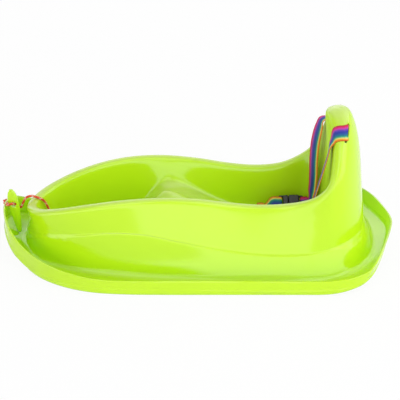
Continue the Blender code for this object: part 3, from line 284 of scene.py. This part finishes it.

# Lime plastic: screen colours, and where the painted sheen on upward-facing tops and the matt front of the
# back begin
LIME_DEEP = (190, 232, 20)
LIME_BRIGHT = (198, 238, 34)
LIME_PAINTED_SHEEN = (186, 204, 120)
PAINTED_SHEEN_FACING_UP = (0.55, 0.98)
PAINTED_SHEEN_RIM_Z = (0.058, 0.078)
PAINTED_SHEEN_DECK_X = (0.315, 0.338)
MATT_FACING_FRONT = (-0.80, -0.97)
MATT_BACK_X = (0.19, 0.215)
LIME_ROUGHNESS = 0.10
STREAK_ROUGHNESS = 0.07
TOP_ROUGHNESS = 0.10
MATT_ROUGHNESS = 0.50
PAINTED_SHEEN_STRENGTH = 0.42
PAINTED_SHEEN_CLOUDS = 0.12

# Rainbow webbing: place across the tape and screen colour of each stripe
STRIPES = (
    (0.00, (215, 45, 30)),
    (0.045, (205, 15, 40)),
    (0.11, (225, 10, 90)),
    (0.21, (215, 60, 165)),
    (0.31, (105, 65, 180)),
    (0.43, (30, 45, 160)),
    (0.56, (5, 75, 155)),
    (0.68, (0, 125, 130)),
    (0.76, (70, 180, 120)),
    (0.82, (240, 230, 130)),
    (0.88, (250, 175, 20)),
    (0.96, (235, 115, 15)),
)
TAPE_RIBS = 28.0
TAPE_PICK = 0.0016
TAPE_WOBBLE = 0.02

# Braided cord: screen colours, and the yarns that aren't red
CORD_RED = (238, 84, 38)
CORD_WHITE = (240, 232, 222)
CORD_DARK = (70, 40, 40)
WHITE_YARN = 3.0
DARK_YARN = 1.0
OTHER_WHITE_YARN = 5.0

# Black pieces: screen colours of the buckle and of the coil's band
BUCKLE_BLACK = (24, 24, 26)
TIE_DARK = (18, 18, 20)
TIE_PALE = (46, 46, 50)

# Floor and backdrop
FLOOR_SIZE = 14.0
FLOOR_Z = -0.0004
FLOOR_GREYS = (0.90, 0.93)
FLOOR_SHOWN = 0.93
BACKDROP_SHOWN = 1.0
BACKDROP_LIGHT = 0.05

# Lamps round the object: bearing from the front, height angle, width, height, power
SOFTBOXES = (
    (-70, 11, 1.6, 1.2, 11.3),
    (-35, 11, 1.6, 1.2, 9.0),
    (0, 11, 1.6, 1.2, 10.0),
    (35, 11, 1.6, 1.2, 9.6),
    (70, 11, 1.6, 1.2, 9.4),
    (-30, 46, 1.6, 1.3, 12.0),
    (38, 46, 1.6, 1.3, 9.8),
    (82, 46, 3.6, 2.4, 34.0),
    (135, 36, 2.0, 1.2, 6.8),
    (180, 12, 2.0, 1.1, 3.7),
    (188, 34, 1.8, 1.2, 9.0),
    (180, 62, 2.6, 1.4, 8.2),
    (225, 12, 2.0, 1.1, 6.0),
    (225, 36, 2.0, 1.2, 4.1),
    (0, 88, 2.2, 2.2, 3.5),
)
SOFTBOX_DISTANCE = 2.6
SOFTBOX_AIM = Vector((0.0, 0.0, 0.1))


class Wire:
    """A socket in a material that takes part in sums and products."""

    def __init__(self, tree, socket):
        self.tree = tree
        self.socket = socket

    def join(self, operation, other, swapped=False):
        math_node = self.tree.nodes.new("ShaderNodeMath")
        math_node.operation = operation
        first, second = (1, 0) if swapped else (0, 1)
        self.tree.links.new(self.socket, math_node.inputs[first])
        if isinstance(other, Wire):
            self.tree.links.new(other.socket, math_node.inputs[second])
        else:
            math_node.inputs[second].default_value = other
        return Wire(self.tree, math_node.outputs[0])

    def __add__(self, other):
        return self.join("ADD", other)

    __radd__ = __add__

    def __sub__(self, other):
        return self.join("SUBTRACT", other)

    def __rsub__(self, other):
        return self.join("SUBTRACT", other, True)

    def __mul__(self, other):
        return self.join("MULTIPLY", other)

    __rmul__ = __mul__

    def __mod__(self, other):
        return self.join("FLOORED_MODULO", other)


class Finish:
    """A surface finish that is put together from shader nodes."""

    def __init__(self, name, **constants):
        self.material = bpy.data.materials.new(name)
        self.material.use_nodes = True
        self.tree = self.material.node_tree
        self.shader = self.tree.nodes["Principled BSDF"]
        for socket, value in constants.items():
            self.shader.inputs[socket.replace("_", " ")].default_value = value

    def node(self, kind, settings=None, sockets=None, out=0):
        """The chosen output of a new node, given its settings and the values or links of its sockets."""
        made = self.tree.nodes.new("ShaderNode" + kind)
        for key, value in (settings or {}).items():
            if key == "stops":
                ramp = made.color_ramp
                while len(ramp.elements) < len(value):
                    ramp.elements.new(1.0)
                for element, (place, colour) in zip(ramp.elements, value):
                    element.position = place
                    element.color = screen(colour)
            else:
                setattr(made, key, value)
        for key, value in (sockets or {}).items():
            if isinstance(value, Wire):
                self.tree.links.new(value.socket, made.inputs[key])
            else:
                made.inputs[key].default_value = value
        return Wire(self.tree, made.outputs[out])

    def parts(self, vector):
        """The three numbers of a vector."""
        split = self.node("SeparateXYZ", None, {"Vector": vector}).socket.node
        return [Wire(self.tree, part) for part in split.outputs]

    def noise(self, place, scale, detail):
        """Cloudy values from nothing to one."""
        return self.node("TexNoise", None, {"Vector": place, "Scale": scale, "Detail": detail})

    def rise(self, value, ends):
        """Nothing at the first end and one at the second, with a gentle start and end."""
        sockets = {"Value": value, "From Min": ends[0], "From Max": ends[1]}
        return self.node("MapRange", {"interpolation_type": "SMOOTHSTEP"}, sockets)

    def work(self, operation, *values):
        """One step of arithmetic that isn't a plain sum or product."""
        return self.node("Math", {"operation": operation}, dict(enumerate(values)))

    def mix(self, factor, first, second):
        """A colour between two others."""
        return self.node("Mix", {"data_type": "RGBA"}, {0: factor, 6: first, 7: second}, 2)

    def shaded(self, colour, texture, low, high):
        """A colour made darker and lighter by a texture."""
        shade = self.node("MapRange", None, {"Value": texture, "To Min": low, "To Max": high})
        return self.node("VectorMath", {"operation": "SCALE"}, {0: colour, "Scale": shade})

    def put(self, socket, wire):
        """Link a value to one of the shader's sockets."""
        self.tree.links.new(wire.socket, self.shader.inputs[socket])

    def bump(self, height, strength, distance):
        """Fine relief in the surface."""
        sockets = {"Height": height, "Strength": strength, "Distance": distance}
        self.put("Normal", self.node("Bump", None, sockets))


def screen(colour):
    """A colour as it is written on screen, 0 to 255, in the shader's own scale."""
    scaled = [value / 255.0 for value in colour]
    return (*(v / 12.92 if v <= 0.04045 else ((v + 0.055) / 1.055) ** 2.4 for v in scaled), 1.0)


def lime_finish():
    """Glossy moulded plastic, with a painted pale sheen on upward-facing tops, and matt on the front of the
    back.
    """
    finish = Finish("lime moulded plastic", IOR=1.5)
    place = finish.node("TexCoord", out="Object")
    cloud = finish.noise(place, scale=5.0, detail=2.0)
    colour = finish.mix(cloud, screen(LIME_DEEP), screen(LIME_BRIGHT))
    facing_x, _, facing_z = finish.parts(finish.node("TexCoord", out="Normal"))
    place_x, _, place_z = finish.parts(place)
    # Painted sheen: upward-facing tops of the rim, hump and tail deck are mixed towards a pale grey-green,
    # which stands in for the reflection of the bright light above and behind
    upward = finish.rise(facing_z, PAINTED_SHEEN_FACING_UP)
    high_or_tail = finish.work("MAXIMUM", finish.rise(place_z, PAINTED_SHEEN_RIM_Z), finish.rise(place_x, PAINTED_SHEEN_DECK_X))
    painted_sheen = upward * high_or_tail * (PAINTED_SHEEN_STRENGTH + PAINTED_SHEEN_CLOUDS * cloud)
    finish.put("Base Color", finish.mix(painted_sheen, colour, screen(LIME_PAINTED_SHEEN)))
    streak = finish.noise(place, scale=38.0, detail=3.0)
    forward = finish.rise(facing_x, MATT_FACING_FRONT)
    rear = finish.rise(place_x, MATT_BACK_X)
    rough = LIME_ROUGHNESS + STREAK_ROUGHNESS * streak + TOP_ROUGHNESS * upward * high_or_tail
    finish.put("Roughness", rough + MATT_ROUGHNESS * forward * rear)
    peel = finish.noise(place, scale=420.0, detail=1.0)
    finish.bump(peel, strength=0.05, distance=0.0006)
    return finish.material


def tape_finish():
    """Rainbow striped webbing with a visible weave."""
    finish = Finish("rainbow webbing", Roughness=0.7, Sheen_Weight=0.04)
    chart = finish.node("UVMap", {"uv_map": "tape"})
    across, along, _ = finish.parts(chart)
    wobble = finish.noise(chart, scale=600.0, detail=1.0)
    place = across + (wobble - 0.5) * TAPE_WOBBLE
    stripe = finish.node("ValToRGB", {"stops": STRIPES}, {"Fac": place})
    ribs = finish.work("SINE", across * (2.0 * math.pi * TAPE_RIBS))
    picks = finish.work("SINE", along * (2.0 * math.pi / TAPE_PICK))
    weave = ribs * picks * 0.5 + 0.5
    finish.put("Base Color", finish.shaded(stripe, weave, low=0.72, high=1.08))
    finish.bump(weave, strength=0.5, distance=0.0003)
    return finish.material


def rope_finish():
    """Round braid of red yarns with white and dark ones among them."""
    finish = Finish("red braided cord", Roughness=0.8, Sheen_Weight=0.1)
    chart = finish.node("UVMap", {"uv_map": "braid"})
    turn, length, _ = finish.parts(chart)
    around = turn * BRAID_STRANDS
    along = length * (BRAID_STRANDS / BRAID_PITCH)
    first = finish.work("FLOOR", around + along)
    second = finish.work("FLOOR", around - along)
    top = (first + second) % 2.0
    first_yarn = first % BRAID_STRANDS
    second_yarn = second % BRAID_STRANDS
    white = finish.work("COMPARE", first_yarn, WHITE_YARN, 0.5)
    dark = finish.work("COMPARE", second_yarn, DARK_YARN, 0.5)
    other_white = finish.work("COMPARE", second_yarn, OTHER_WHITE_YARN, 0.5)
    upper = finish.mix(white, screen(CORD_RED), screen(CORD_WHITE))
    lower = finish.mix(dark, screen(CORD_RED), screen(CORD_DARK))
    lower = finish.mix(other_white, lower, screen(CORD_WHITE))
    fibre = finish.noise(chart, scale=900.0, detail=2.0)
    finish.put("Base Color", finish.shaded(finish.mix(top, upper, lower), fibre, low=0.75, high=1.1))
    finish.bump(fibre, strength=0.3, distance=0.0002)
    return finish.material


def buckle_finish():
    """Black moulded plastic with a fine spark texture."""
    finish = Finish("black buckle plastic")
    grain = finish.noise(finish.node("TexCoord", out="Object"), scale=1400.0, detail=2.0)
    finish.put("Base Color", finish.shaded(screen(BUCKLE_BLACK)[:3], grain, low=0.8, high=1.25))
    finish.put("Roughness", 0.32 + 0.18 * grain)
    finish.bump(grain, strength=0.15, distance=0.0002)
    return finish.material


def tie_finish():
    """Black woven band."""
    finish = Finish("black woven band", Roughness=0.9)
    bands = {"wave_type": "BANDS", "bands_direction": "X"}
    rib = finish.node("TexWave", bands, {"Vector": finish.node("TexCoord", out="Object"), "Scale": 260.0})
    finish.put("Base Color", finish.mix(rib, screen(TIE_DARK), screen(TIE_PALE)))
    finish.bump(rib, strength=0.4, distance=0.0003)
    return finish.material


def shown_share(tree):
    """One on rays from the camera, gloss or glass, and nothing on those that light the object."""
    path = tree.nodes.new("ShaderNodeLightPath")
    share = Wire(tree, path.outputs["Is Camera Ray"])
    for ray in ("Is Glossy Ray", "Is Transmission Ray"):
        share = share.join("MAXIMUM", Wire(tree, path.outputs[ray]))
    return share


def floor_finish():
    """Pale floor that shows white and keeps a soft shadow."""
    finish = Finish("pale floor", Roughness=0.9)
    cloud = finish.node("TexNoise", None, {"Vector": finish.node("TexCoord", out="Object"), "Scale": 3.0})
    dark, pale = [(grey, grey, grey, 1.0) for grey in FLOOR_GREYS]
    finish.put("Base Color", finish.mix(cloud, dark, pale))
    glow = finish.node("Emission", None, {"Strength": 1.0})
    lit = Wire(finish.tree, finish.shader.outputs[0])
    blended = finish.node("MixShader", None, {0: shown_share(finish.tree) * FLOOR_SHOWN, 1: lit, 2: glow})
    finish.tree.links.new(blended.socket, finish.tree.nodes["Material Output"].inputs[0])
    return finish.material


def soft_step(value):
    """From nothing to one, with a gentle start and end."""
    value = min(1.0, max(0.0, value))
    return value * value * (3.0 - 2.0 * value)


def smooth_line(points, per_span):
    """Smooth line through the points of an open route."""
    knots = np.array(points, float)
    chord = np.linalg.norm(np.diff(knots[:, :3], axis=0), axis=1)
    slope = np.empty_like(knots)
    slope[0] = (knots[1] - knots[0]) / chord[0]
    slope[-1] = (knots[-1] - knots[-2]) / chord[-1]
    for i in range(1, len(knots) - 1):
        left = (knots[i] - knots[i - 1]) / chord[i - 1]
        right = (knots[i + 1] - knots[i]) / chord[i]
        slope[i] = (left * chord[i] + right * chord[i - 1]) / (chord[i] + chord[i - 1])
    line = []
    for i in range(len(knots) - 1):
        for step in range(per_span):
            t = step / per_span
            line.append(
                (2 * t**3 - 3 * t**2 + 1) * knots[i]
                + (t**3 - 2 * t**2 + t) * chord[i] * slope[i]
                + (3 * t**2 - 2 * t**3) * knots[i + 1]
                + (t**3 - t**2) * chord[i] * slope[i + 1]
            )
    line.append(knots[-1])
    return np.array(line)


def run_of(line):
    """Length along the line at each of its points."""
    return np.concatenate([[0.0], np.cumsum(np.linalg.norm(np.diff(line[:, :3], axis=0), axis=1))])


def even(line, step):
    """The line's points shared out evenly, about a step apart."""
    length = run_of(line)
    wanted = np.linspace(0.0, length[-1], max(2, round(length[-1] / step)) + 1)
    return np.stack([np.interp(wanted, length, line[:, k]) for k in range(line.shape[1])], 1)


def mesh_object(name, shape, finish):
    """Turn a built shape into a smooth named object."""
    mesh = bpy.data.meshes.new(name)
    shape.to_mesh(mesh)
    shape.free()
    mesh.materials.append(finish)
    piece = bpy.data.objects.new(name, mesh)
    bpy.context.scene.collection.objects.link(piece)
    mesh.shade_smooth()
    return piece


def first_side(along):
    """A direction square to the start of a cord, also where that start stands nearly upright."""
    side = np.cross(along, (0.0, 0.0, 1.0))
    if np.linalg.norm(side) < NEARLY_UPRIGHT:
        side = np.cross(along, (0.0, 1.0, 0.0))
    return side / np.linalg.norm(side)


def braid_reach(radius, around, along):
    """Radius of a braid, whose yarns stand a little proud where they lie on top."""
    first = (around + along) * BRAID_STRANDS
    second = (around - along) * BRAID_STRANDS
    on_top = first if (math.floor(first) + math.floor(second)) % 2 == 0 else second
    return radius + BRAID_RELIEF * (abs(math.sin(math.pi * on_top)) - BRAID_LEVEL)


def swept_cord(name, line, radius, finish, sides, closed):
    """A braided cord along a line."""
    count = len(line)
    if closed:
        tangent = np.roll(line, -1, axis=0) - np.roll(line, 1, axis=0)
    else:
        tangent = np.gradient(line, axis=0)
    tangent /= np.linalg.norm(tangent, axis=1)[:, None]
    length = run_of(line)
    side = first_side(tangent[0])
    shape = bmesh.new()
    chart = shape.loops.layers.uv.new("braid")
    rows = []
    for i in range(count):
        side = side - tangent[i] * np.dot(side, tangent[i])
        side /= np.linalg.norm(side)
        other = np.cross(tangent[i], side)
        row = []
        for k in range(sides):
            around = k / sides
            reach = braid_reach(radius, around, length[i] / BRAID_PITCH)
            angle = 2.0 * math.pi * around
            spot = line[i] + reach * (math.cos(angle) * side + math.sin(angle) * other)
            row.append(shape.verts.new(spot))
        rows.append(row)
    last = count if closed else count - 1
    for i in range(last):
        j = (i + 1) % count
        high = length[i] + np.linalg.norm(line[j] - line[i])
        for k in range(sides):
            m = (k + 1) % sides
            face = shape.faces.new((rows[i][k], rows[i][m], rows[j][m], rows[j][k]))
            spots = ((k, length[i]), (k + 1, length[i]), (k + 1, high), (k, high))
            for loop, (u, v) in zip(face.loops, spots):
                loop[chart].uv = (u / sides, v)
    if not closed:
        for row, middle in ((rows[0], line[0]), (rows[-1], line[-1])):
            centre = shape.verts.new(middle)
            for k in range(sides):
                shape.faces.new((row[k], row[(k + 1) % sides], centre))
    bmesh.ops.recalc_face_normals(shape, faces=shape.faces)
    return mesh_object(name, shape, finish)


def coil_spot(radius, turn, height):
    """Point of the coil after some turns."""
    angle = math.pi / 2 - 2.0 * math.pi * turn
    return (COIL_CENTRE[0] + radius * math.cos(angle), COIL_CENTRE[1] + radius * math.sin(angle), height)


def coil_line():
    """The rope put away in two layers, wound in on top and out again below, with a loose end."""
    low = COIL_LOW
    high = low + COIL_LAYER
    half = COIL_TURNS / 2
    route = []
    for k in range(COIL_TURNS * COIL_POINTS + 1):
        turn = k / COIL_POINTS
        away = abs(turn - half)
        if away < COIL_CROSSING:
            radius = COIL_INNER_RADIUS + COIL_PITCH * away * away / (2.0 * COIL_CROSSING)
            share = (turn - half + COIL_CROSSING) / (2.0 * COIL_CROSSING)
            height = high + (low - high) * soft_step(share)
        else:
            radius = COIL_INNER_RADIUS + COIL_PITCH * (away - COIL_CROSSING / 2)
            height = high if turn < half else low
        route.append(coil_spot(radius, turn, height))
    outer = COIL_INNER_RADIUS + COIL_PITCH * (half - COIL_CROSSING / 2)
    for k in range(1, LOOSE_POINTS + 1):
        turn = k * LOOSE_TURN
        radius = outer + COIL_PITCH * turn + LOOSE_SPREAD * (k / LOOSE_POINTS) ** 2
        route.append(coil_spot(radius, turn, low))
    route = np.array(route)
    heading = (route[-1] - route[-2]) / np.linalg.norm(route[-1] - route[-2])
    return np.vstack([route, route[-1] + heading * ROPE_DIAMETER])


def make_knot(name, start, direction, finish):
    """An overhand stopper knot, pulled tight, just past the end of the rope."""
    turn = np.linspace(0.0, 2.0 * math.pi, KNOT_POINTS, endpoint=False)
    loop = np.stack([
        -KNOT_STRETCH * np.sin(3 * turn),
        np.sin(turn) + 2 * np.sin(2 * turn),
        np.cos(turn) - 2 * np.cos(2 * turn),
    ], 1)
    scale = (KNOT_DIAMETER - KNOT_YARN) / KNOT_CURVE_WIDTH
    aim = Vector(direction).to_track_quat("X", "Z").to_matrix()
    middle = np.array(start) + np.array(direction) * KNOT_LENGTH / 2
    line = middle + (loop * scale) @ np.array(aim).T
    return swept_cord(name, line, KNOT_YARN / 2, finish, KNOT_SIDES, True)


def tape_grid(keys):
    """Middle surface of a tape along a route, with each row's length and its place among the keys."""
    line = smooth_line(keys, TAPE_SPAN_POINTS)
    order = np.arange(len(line)) / TAPE_SPAN_POINTS
    line = even(np.column_stack([line, order]), TAPE_STEP)
    ahead = np.gradient(line[:, :3], axis=0)
    places = np.linspace(-0.5, 0.5, TAPE_COLUMNS + 1)
    grid = np.empty((len(line), TAPE_COLUMNS + 1, 3))
    for i in range(len(line)):
        forward = ahead[i] / np.linalg.norm(ahead[i])
        width = line[i, 3:6] - forward * np.dot(line[i, 3:6], forward)
        width /= np.linalg.norm(width)
        grid[i] = line[i, :3] + places[:, None] * width * TAPE_WIDTH
    return grid, run_of(line), line[:, 6]


def lay_on_rim(grid, order, surface):
    """Press the part of the tape between the slot and the front edge onto the shell."""
    first, last = TAPE_ON_RIM
    clear = TAPE_THICKNESS / 2 + TAPE_CLEAR
    for i in range(len(grid)):
        before = (order[i] - first) / RIM_EASE_IN
        after = (last + RIM_EASE_OUT - order[i]) / RIM_EASE_OUT
        weight = soft_step(min(before, after))
        if weight <= 0.0:
            continue
        for j in range(grid.shape[1]):
            spot, normal, _, away = surface.find_nearest(Vector(grid[i, j]))
            if away < RIM_REACH:
                target = np.array(spot + normal * clear)
                grid[i, j] += weight * (target - grid[i, j])
    return grid


def make_tape(name, keys, finish, surface):
    """Flat woven tape along a route, with rounded selvedges."""
    grid, length, order = tape_grid(keys)
    grid = lay_on_rim(grid, order, surface)
    normal = np.cross(np.gradient(grid, axis=0), np.gradient(grid, axis=1))
    normal /= np.linalg.norm(normal, axis=2)[:, :, None]
    shape = bmesh.new()
    chart = shape.loops.layers.uv.new("tape")
    columns = list(range(TAPE_COLUMNS + 1))
    section = [(0, 0.0)] + [(c, 1.0) for c in columns[1:-1]] + [(TAPE_COLUMNS, 0.0)]
    section += [(c, -1.0) for c in columns[-2:0:-1]]
    rows = []
    for i in range(len(grid)):
        row = []
        for c, face in section:
            share = c / TAPE_COLUMNS
            edge = min(1.0, min(share, 1.0 - share) / SELVEDGE_SHARE)
            off = face * TAPE_THICKNESS / 2 * (SELVEDGE_THIN + (1.0 - SELVEDGE_THIN) * edge)
            row.append(shape.verts.new(grid[i, c] + normal[i, c] * off))
        rows.append(row)
    around = len(section)
    for i in range(len(rows) - 1):
        for k in range(around):
            m = (k + 1) % around
            face = shape.faces.new((rows[i][k], rows[i][m], rows[i + 1][m], rows[i + 1][k]))
            spots = ((k, i), (m, i), (m, i + 1), (k, i + 1))
            for loop, (column, row) in zip(face.loops, spots):
                loop[chart].uv = (section[column][0] / TAPE_COLUMNS, length[row])
    shape.faces.new(rows[0])
    shape.faces.new(rows[-1])
    bmesh.ops.recalc_face_normals(shape, faces=shape.faces)
    return mesh_object(name, shape, finish)


def mirrored(route):
    """A route on the other side of the middle plane."""
    return [(x, -y, z, a, -b, c) for x, y, z, a, b, c in route]


def turned_over(route):
    """A route whose tape shows its stripes the other way round."""
    return [(x, y, z, -a, -b, -c) for x, y, z, a, b, c in route]


def pick(piece):
    """Make a piece the active one, and the only one that is selected."""
    bpy.ops.object.select_all(action="DESELECT")
    piece.select_set(True)
    bpy.context.view_layer.objects.active = piece


def copy_of(node, name, finish):
    """A merged copy of a CAD solid's mesh, with its flat faces joined again."""
    piece = bpy.data.objects.new(name, nodes[node].data.copy())
    bpy.context.scene.collection.objects.link(piece)
    piece.data.materials.clear()
    piece.data.materials.append(finish)
    pick(piece)
    bpy.ops.object.mode_set(mode="EDIT")
    bpy.ops.mesh.select_all(action="SELECT")
    bpy.ops.mesh.remove_doubles(threshold=MERGE_WITHIN)
    bpy.ops.mesh.tris_convert_to_quads(face_threshold=QUAD_ANGLE, shape_threshold=QUAD_ANGLE)
    bpy.ops.object.mode_set(mode="OBJECT")
    return piece


def apply(piece, kind, **settings):
    """Put a modifier on a piece and apply it."""
    pick(piece)
    change = piece.modifiers.new(kind.lower(), kind)
    for key, value in settings.items():
        setattr(change, key, value)
    bpy.ops.object.modifier_apply(modifier=change.name)


def select_faces(piece, wanted):
    """Select the wanted faces of a piece, and nothing else."""
    pick(piece)
    mesh = piece.data
    bpy.context.tool_settings.mesh_select_mode = (False, False, True)
    chosen = [wanted(face) for face in mesh.polygons]
    corners = {v for face, keep in zip(mesh.polygons, chosen) if keep for v in face.vertices}
    sides = {key for face, keep in zip(mesh.polygons, chosen) if keep for key in face.edge_keys}
    mesh.vertices.foreach_set("select", [v.index in corners for v in mesh.vertices])
    mesh.edges.foreach_set("select", [tuple(sorted(e.vertices)) in sides for e in mesh.edges])
    mesh.polygons.foreach_set("select", chosen)


def fill_band(piece):
    """Make the band over the back fuller towards the seat, so that it rolls softly into the back."""
    for vertex in piece.data.vertices:
        x, y, z = vertex.co
        if z < BAND_FULL_FROM_Z or x < BAND_FROM_X:
            continue
        middle = np.interp(abs(y), *BAND_MIDDLE)
        height = soft_step((z - BAND_FULL_FROM_Z) / (BAND_FULL_Z - BAND_FULL_FROM_Z))
        front = soft_step((middle - x) / BAND_HALF + BAND_FRONT_LEAD)
        side = 1.0 - BAND_SIDE_LOSS * soft_step((abs(y) - BAND_SIDE_FROM) / BAND_SIDE_OVER)
        vertex.co.x -= BAND_FULLNESS * height * front * side


def hold_edges(piece):
    """Keep the lip's edges and the edges of cut openings crisp under the subdivision."""
    shape = bmesh.new()
    shape.from_mesh(piece.data)
    hold = shape.edges.layers.float.new("crease_edge")
    for edge in shape.edges:
        if len(edge.link_faces) != 2:
            continue
        angle = edge.calc_face_angle(0.0)
        middle = (edge.verts[0].co + edge.verts[1].co) / 2
        on_lip = abs(middle.y) > LIP_REACH or middle.x < LIP_NOSE_X or middle.x > LIP_TAIL_X
        if on_lip and angle > LIP_EDGE_ANGLE:
            edge[hold] = LIP_EDGE_HOLD
        elif angle > CUT_EDGE_ANGLE:
            edge[hold] = CUT_EDGE_HOLD
    shape.to_mesh(piece.data)
    shape.free()


def both_sides(points):
    """Search tree and outward headings of a line round the sled, from its points on one side."""
    line = smooth_line(points, WALL_SPAN_POINTS)
    heading = np.gradient(line, axis=0)
    heading /= np.linalg.norm(heading[:, :2], axis=1)[:, None]
    outward = [Vector((-along[1], along[0], 0.0)) for along in heading]
    outward += [Vector((-along[1], -along[0], 0.0)) for along in heading]
    tree = KDTree(2 * len(line))
    for k, point in enumerate(line):
        tree.insert((point[0], point[1], point[2]), k)
        tree.insert((point[0], -point[1], point[2]), k + len(line))
    tree.balance()
    return tree, outward


def refine_near(piece, tree, reach):
    """Give the faces close to a line a finer mesh."""
    select_faces(piece, lambda face: tree.find(face.center)[2] < reach)
    bpy.ops.object.mode_set(mode="EDIT")
    bpy.ops.mesh.subdivide(number_cuts=1)
    bpy.ops.object.mode_set(mode="OBJECT")


def push_along(piece, tree, outward, reach, profile, strength):
    """Push the outer face in or out along a line, by a profile of the height below that line."""
    normals = [vertex.normal.copy() for vertex in piece.data.vertices]
    for vertex, normal in zip(piece.data.vertices, normals):
        spot, found, away = tree.find(vertex.co)
        if away > reach or normal.dot(outward[found]) < OUTER_FACE_FACING:
            continue
        vertex.co += outward[found] * (strength * profile(spot.z - vertex.co.z))
    piece.data.update()


def crease_profile(drop):
    """Full just below the crease, fading out down the wall."""
    fade = max(0.0, 1.0 - max(0.0, drop) / CREASE_FADE)
    return soft_step((drop + CREASE_TOP) / CREASE_ROUND) * fade


def groove_profile(drop):
    """Full on the line and nothing a little above and below it."""
    return soft_step(1.0 - abs(drop) / GROOVE_HALF)


def softbox(bearing, height_angle, width, height, power):
    """A rectangular lamp that faces the object."""
    bearing = math.radians(bearing)
    rise = math.radians(height_angle)
    level = math.cos(rise)
    away = Vector((math.sin(bearing) * level, -math.cos(bearing) * level, math.sin(rise)))
    lamp = bpy.data.lights.new("softbox", "AREA")
    lamp.shape = "RECTANGLE"
    lamp.size = width
    lamp.size_y = height
    lamp.energy = power
    made = bpy.data.objects.new("softbox", lamp)
    made.location = SOFTBOX_AIM + away * SOFTBOX_DISTANCE
    made.rotation_euler = (-away).to_track_quat("-Z", "Y").to_euler()
    bpy.context.scene.collection.objects.link(made)


# Camera
tilt = math.radians(CAMERA_ELEVATION)
camera = bpy.data.objects.new("camera", bpy.data.cameras.new("camera"))
bpy.context.scene.collection.objects.link(camera)
camera.location = CAMERA_TARGET + Vector((0.0, -math.cos(tilt), math.sin(tilt))) * CAMERA_DISTANCE
camera.rotation_euler = (math.pi / 2 - tilt, 0.0, 0.0)
camera.data.sensor_width = CAMERA_SENSOR
camera.data.lens = CAMERA_LENS
camera.data.clip_start = CAMERA_NEAREST
camera.data.clip_end = CAMERA_FARTHEST
bpy.context.scene.camera = camera
bpy.context.scene.view_settings.view_transform = "Standard"

# Finishes
lime_plastic = lime_finish()
rainbow_webbing = tape_finish()
red_cord = rope_finish()
black_plastic = buckle_finish()
black_band = tie_finish()

# Tow rope with its coil, knots and tie
free = smooth_line(ROPE_ROUTE, ROPE_SPAN_POINTS)
coil = smooth_line(coil_line(), COIL_SPAN_POINTS)
rope_line = even(np.vstack([free[:-1], coil]), ROPE_STEP)
rope = swept_cord("braided_rope", rope_line, ROPE_DIAMETER / 2, red_cord, ROPE_SIDES, False)
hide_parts("tow_rope", "tow_rope_coil")
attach(rope, "sled")
nose_knot = make_knot("nose_stopper_knot", *NOSE_KNOT, red_cord)
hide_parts("rope_nose_knot")
end_knot = make_knot("end_stopper_knot", *END_KNOT, red_cord)
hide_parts("rope_end_knot")
for knot in (nose_knot, end_knot):
    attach(knot, "sled")
tie = copy_of("coil_tie", "coil_band", black_band)
apply(tie, "BEVEL", width=TIE_EDGE, segments=2, limit_method="ANGLE")
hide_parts("coil_tie")
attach(tie, "sled")

# Moulded shell
shell = copy_of("sled_shell", "moulded_shell", lime_plastic)
fill_band(shell)
hold_edges(shell)
apply(shell, "SUBSURF", levels=2, render_levels=2)
shell.data.shade_smooth()
crease_tree, crease_outward = both_sides(CREASE_LINE)
refine_near(shell, crease_tree, CREASE_FINE)
push_along(shell, crease_tree, crease_outward, CREASE_REACH, crease_profile, CREASE_STEP)
groove_tree, groove_outward = both_sides(LIP_GROOVE)
push_along(shell, groove_tree, groove_outward, GROOVE_REACH, groove_profile, -GROOVE_DEPTH)
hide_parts("sled_shell")
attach(shell, "sled")

# Belt with its buckle
shell_spots = [vertex.co[:] for vertex in shell.data.vertices]
shell_surface = BVHTree.FromPolygons(shell_spots, [tuple(face.vertices) for face in shell.data.polygons])
far_keys = turned_over(SLOT_ROUTE + FAR_ROUTE)
far_tape = make_tape("far_belt_tape", far_keys, rainbow_webbing, shell_surface)
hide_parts("belt_webbing")
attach(far_tape, "sled")
near_keys = mirrored(SLOT_ROUTE) + list(NEAR_ROUTE)
near_tape = make_tape("near_belt_tape", near_keys, rainbow_webbing, shell_surface)
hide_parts("belt_webbing", "belt_lead")
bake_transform(near_tape)
for node, name, body in BUCKLE_HALVES:
    half = copy_of(node, name, black_plastic)
    apply(half, "BEVEL", width=BUCKLE_EDGE, segments=2, limit_method="ANGLE", angle_limit=BUCKLE_EDGE_ANGLE)
    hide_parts(node)
    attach(half, body)

# Pull grip
grip = copy_of("tow_grip", "leaf_grip", lime_plastic)
select_faces(grip, lambda face: abs(face.normal.y) > GRIP_FACING)
bpy.ops.object.mode_set(mode="EDIT")
bpy.ops.mesh.inset(thickness=GRIP_FIELD_INSET, depth=GRIP_FIELD_RISE)
bpy.ops.object.mode_set(mode="OBJECT")
apply(grip, "BEVEL", width=GRIP_EDGE, segments=3, limit_method="ANGLE", angle_limit=GRIP_EDGE_ANGLE)
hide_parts("tow_grip")
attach(grip, "sled")

# Floor
bpy.ops.mesh.primitive_plane_add(size=FLOOR_SIZE, location=(0.0, 0.0, FLOOR_Z))
floor = bpy.context.active_object
floor.name = "studio_floor"
floor.data.materials.append(floor_finish())

# Backdrop
world = bpy.data.worlds.new("studio")
bpy.context.scene.world = world
world.use_nodes = True
sky = world.node_tree
backdrop = sky.nodes["Background"]
backdrop.inputs["Color"].default_value = (1.0, 1.0, 1.0, 1.0)
level = shown_share(sky) * (BACKDROP_SHOWN - BACKDROP_LIGHT) + BACKDROP_LIGHT
sky.links.new(level.socket, backdrop.inputs["Strength"])

# Lamps
for values in SOFTBOXES:
    softbox(*values)
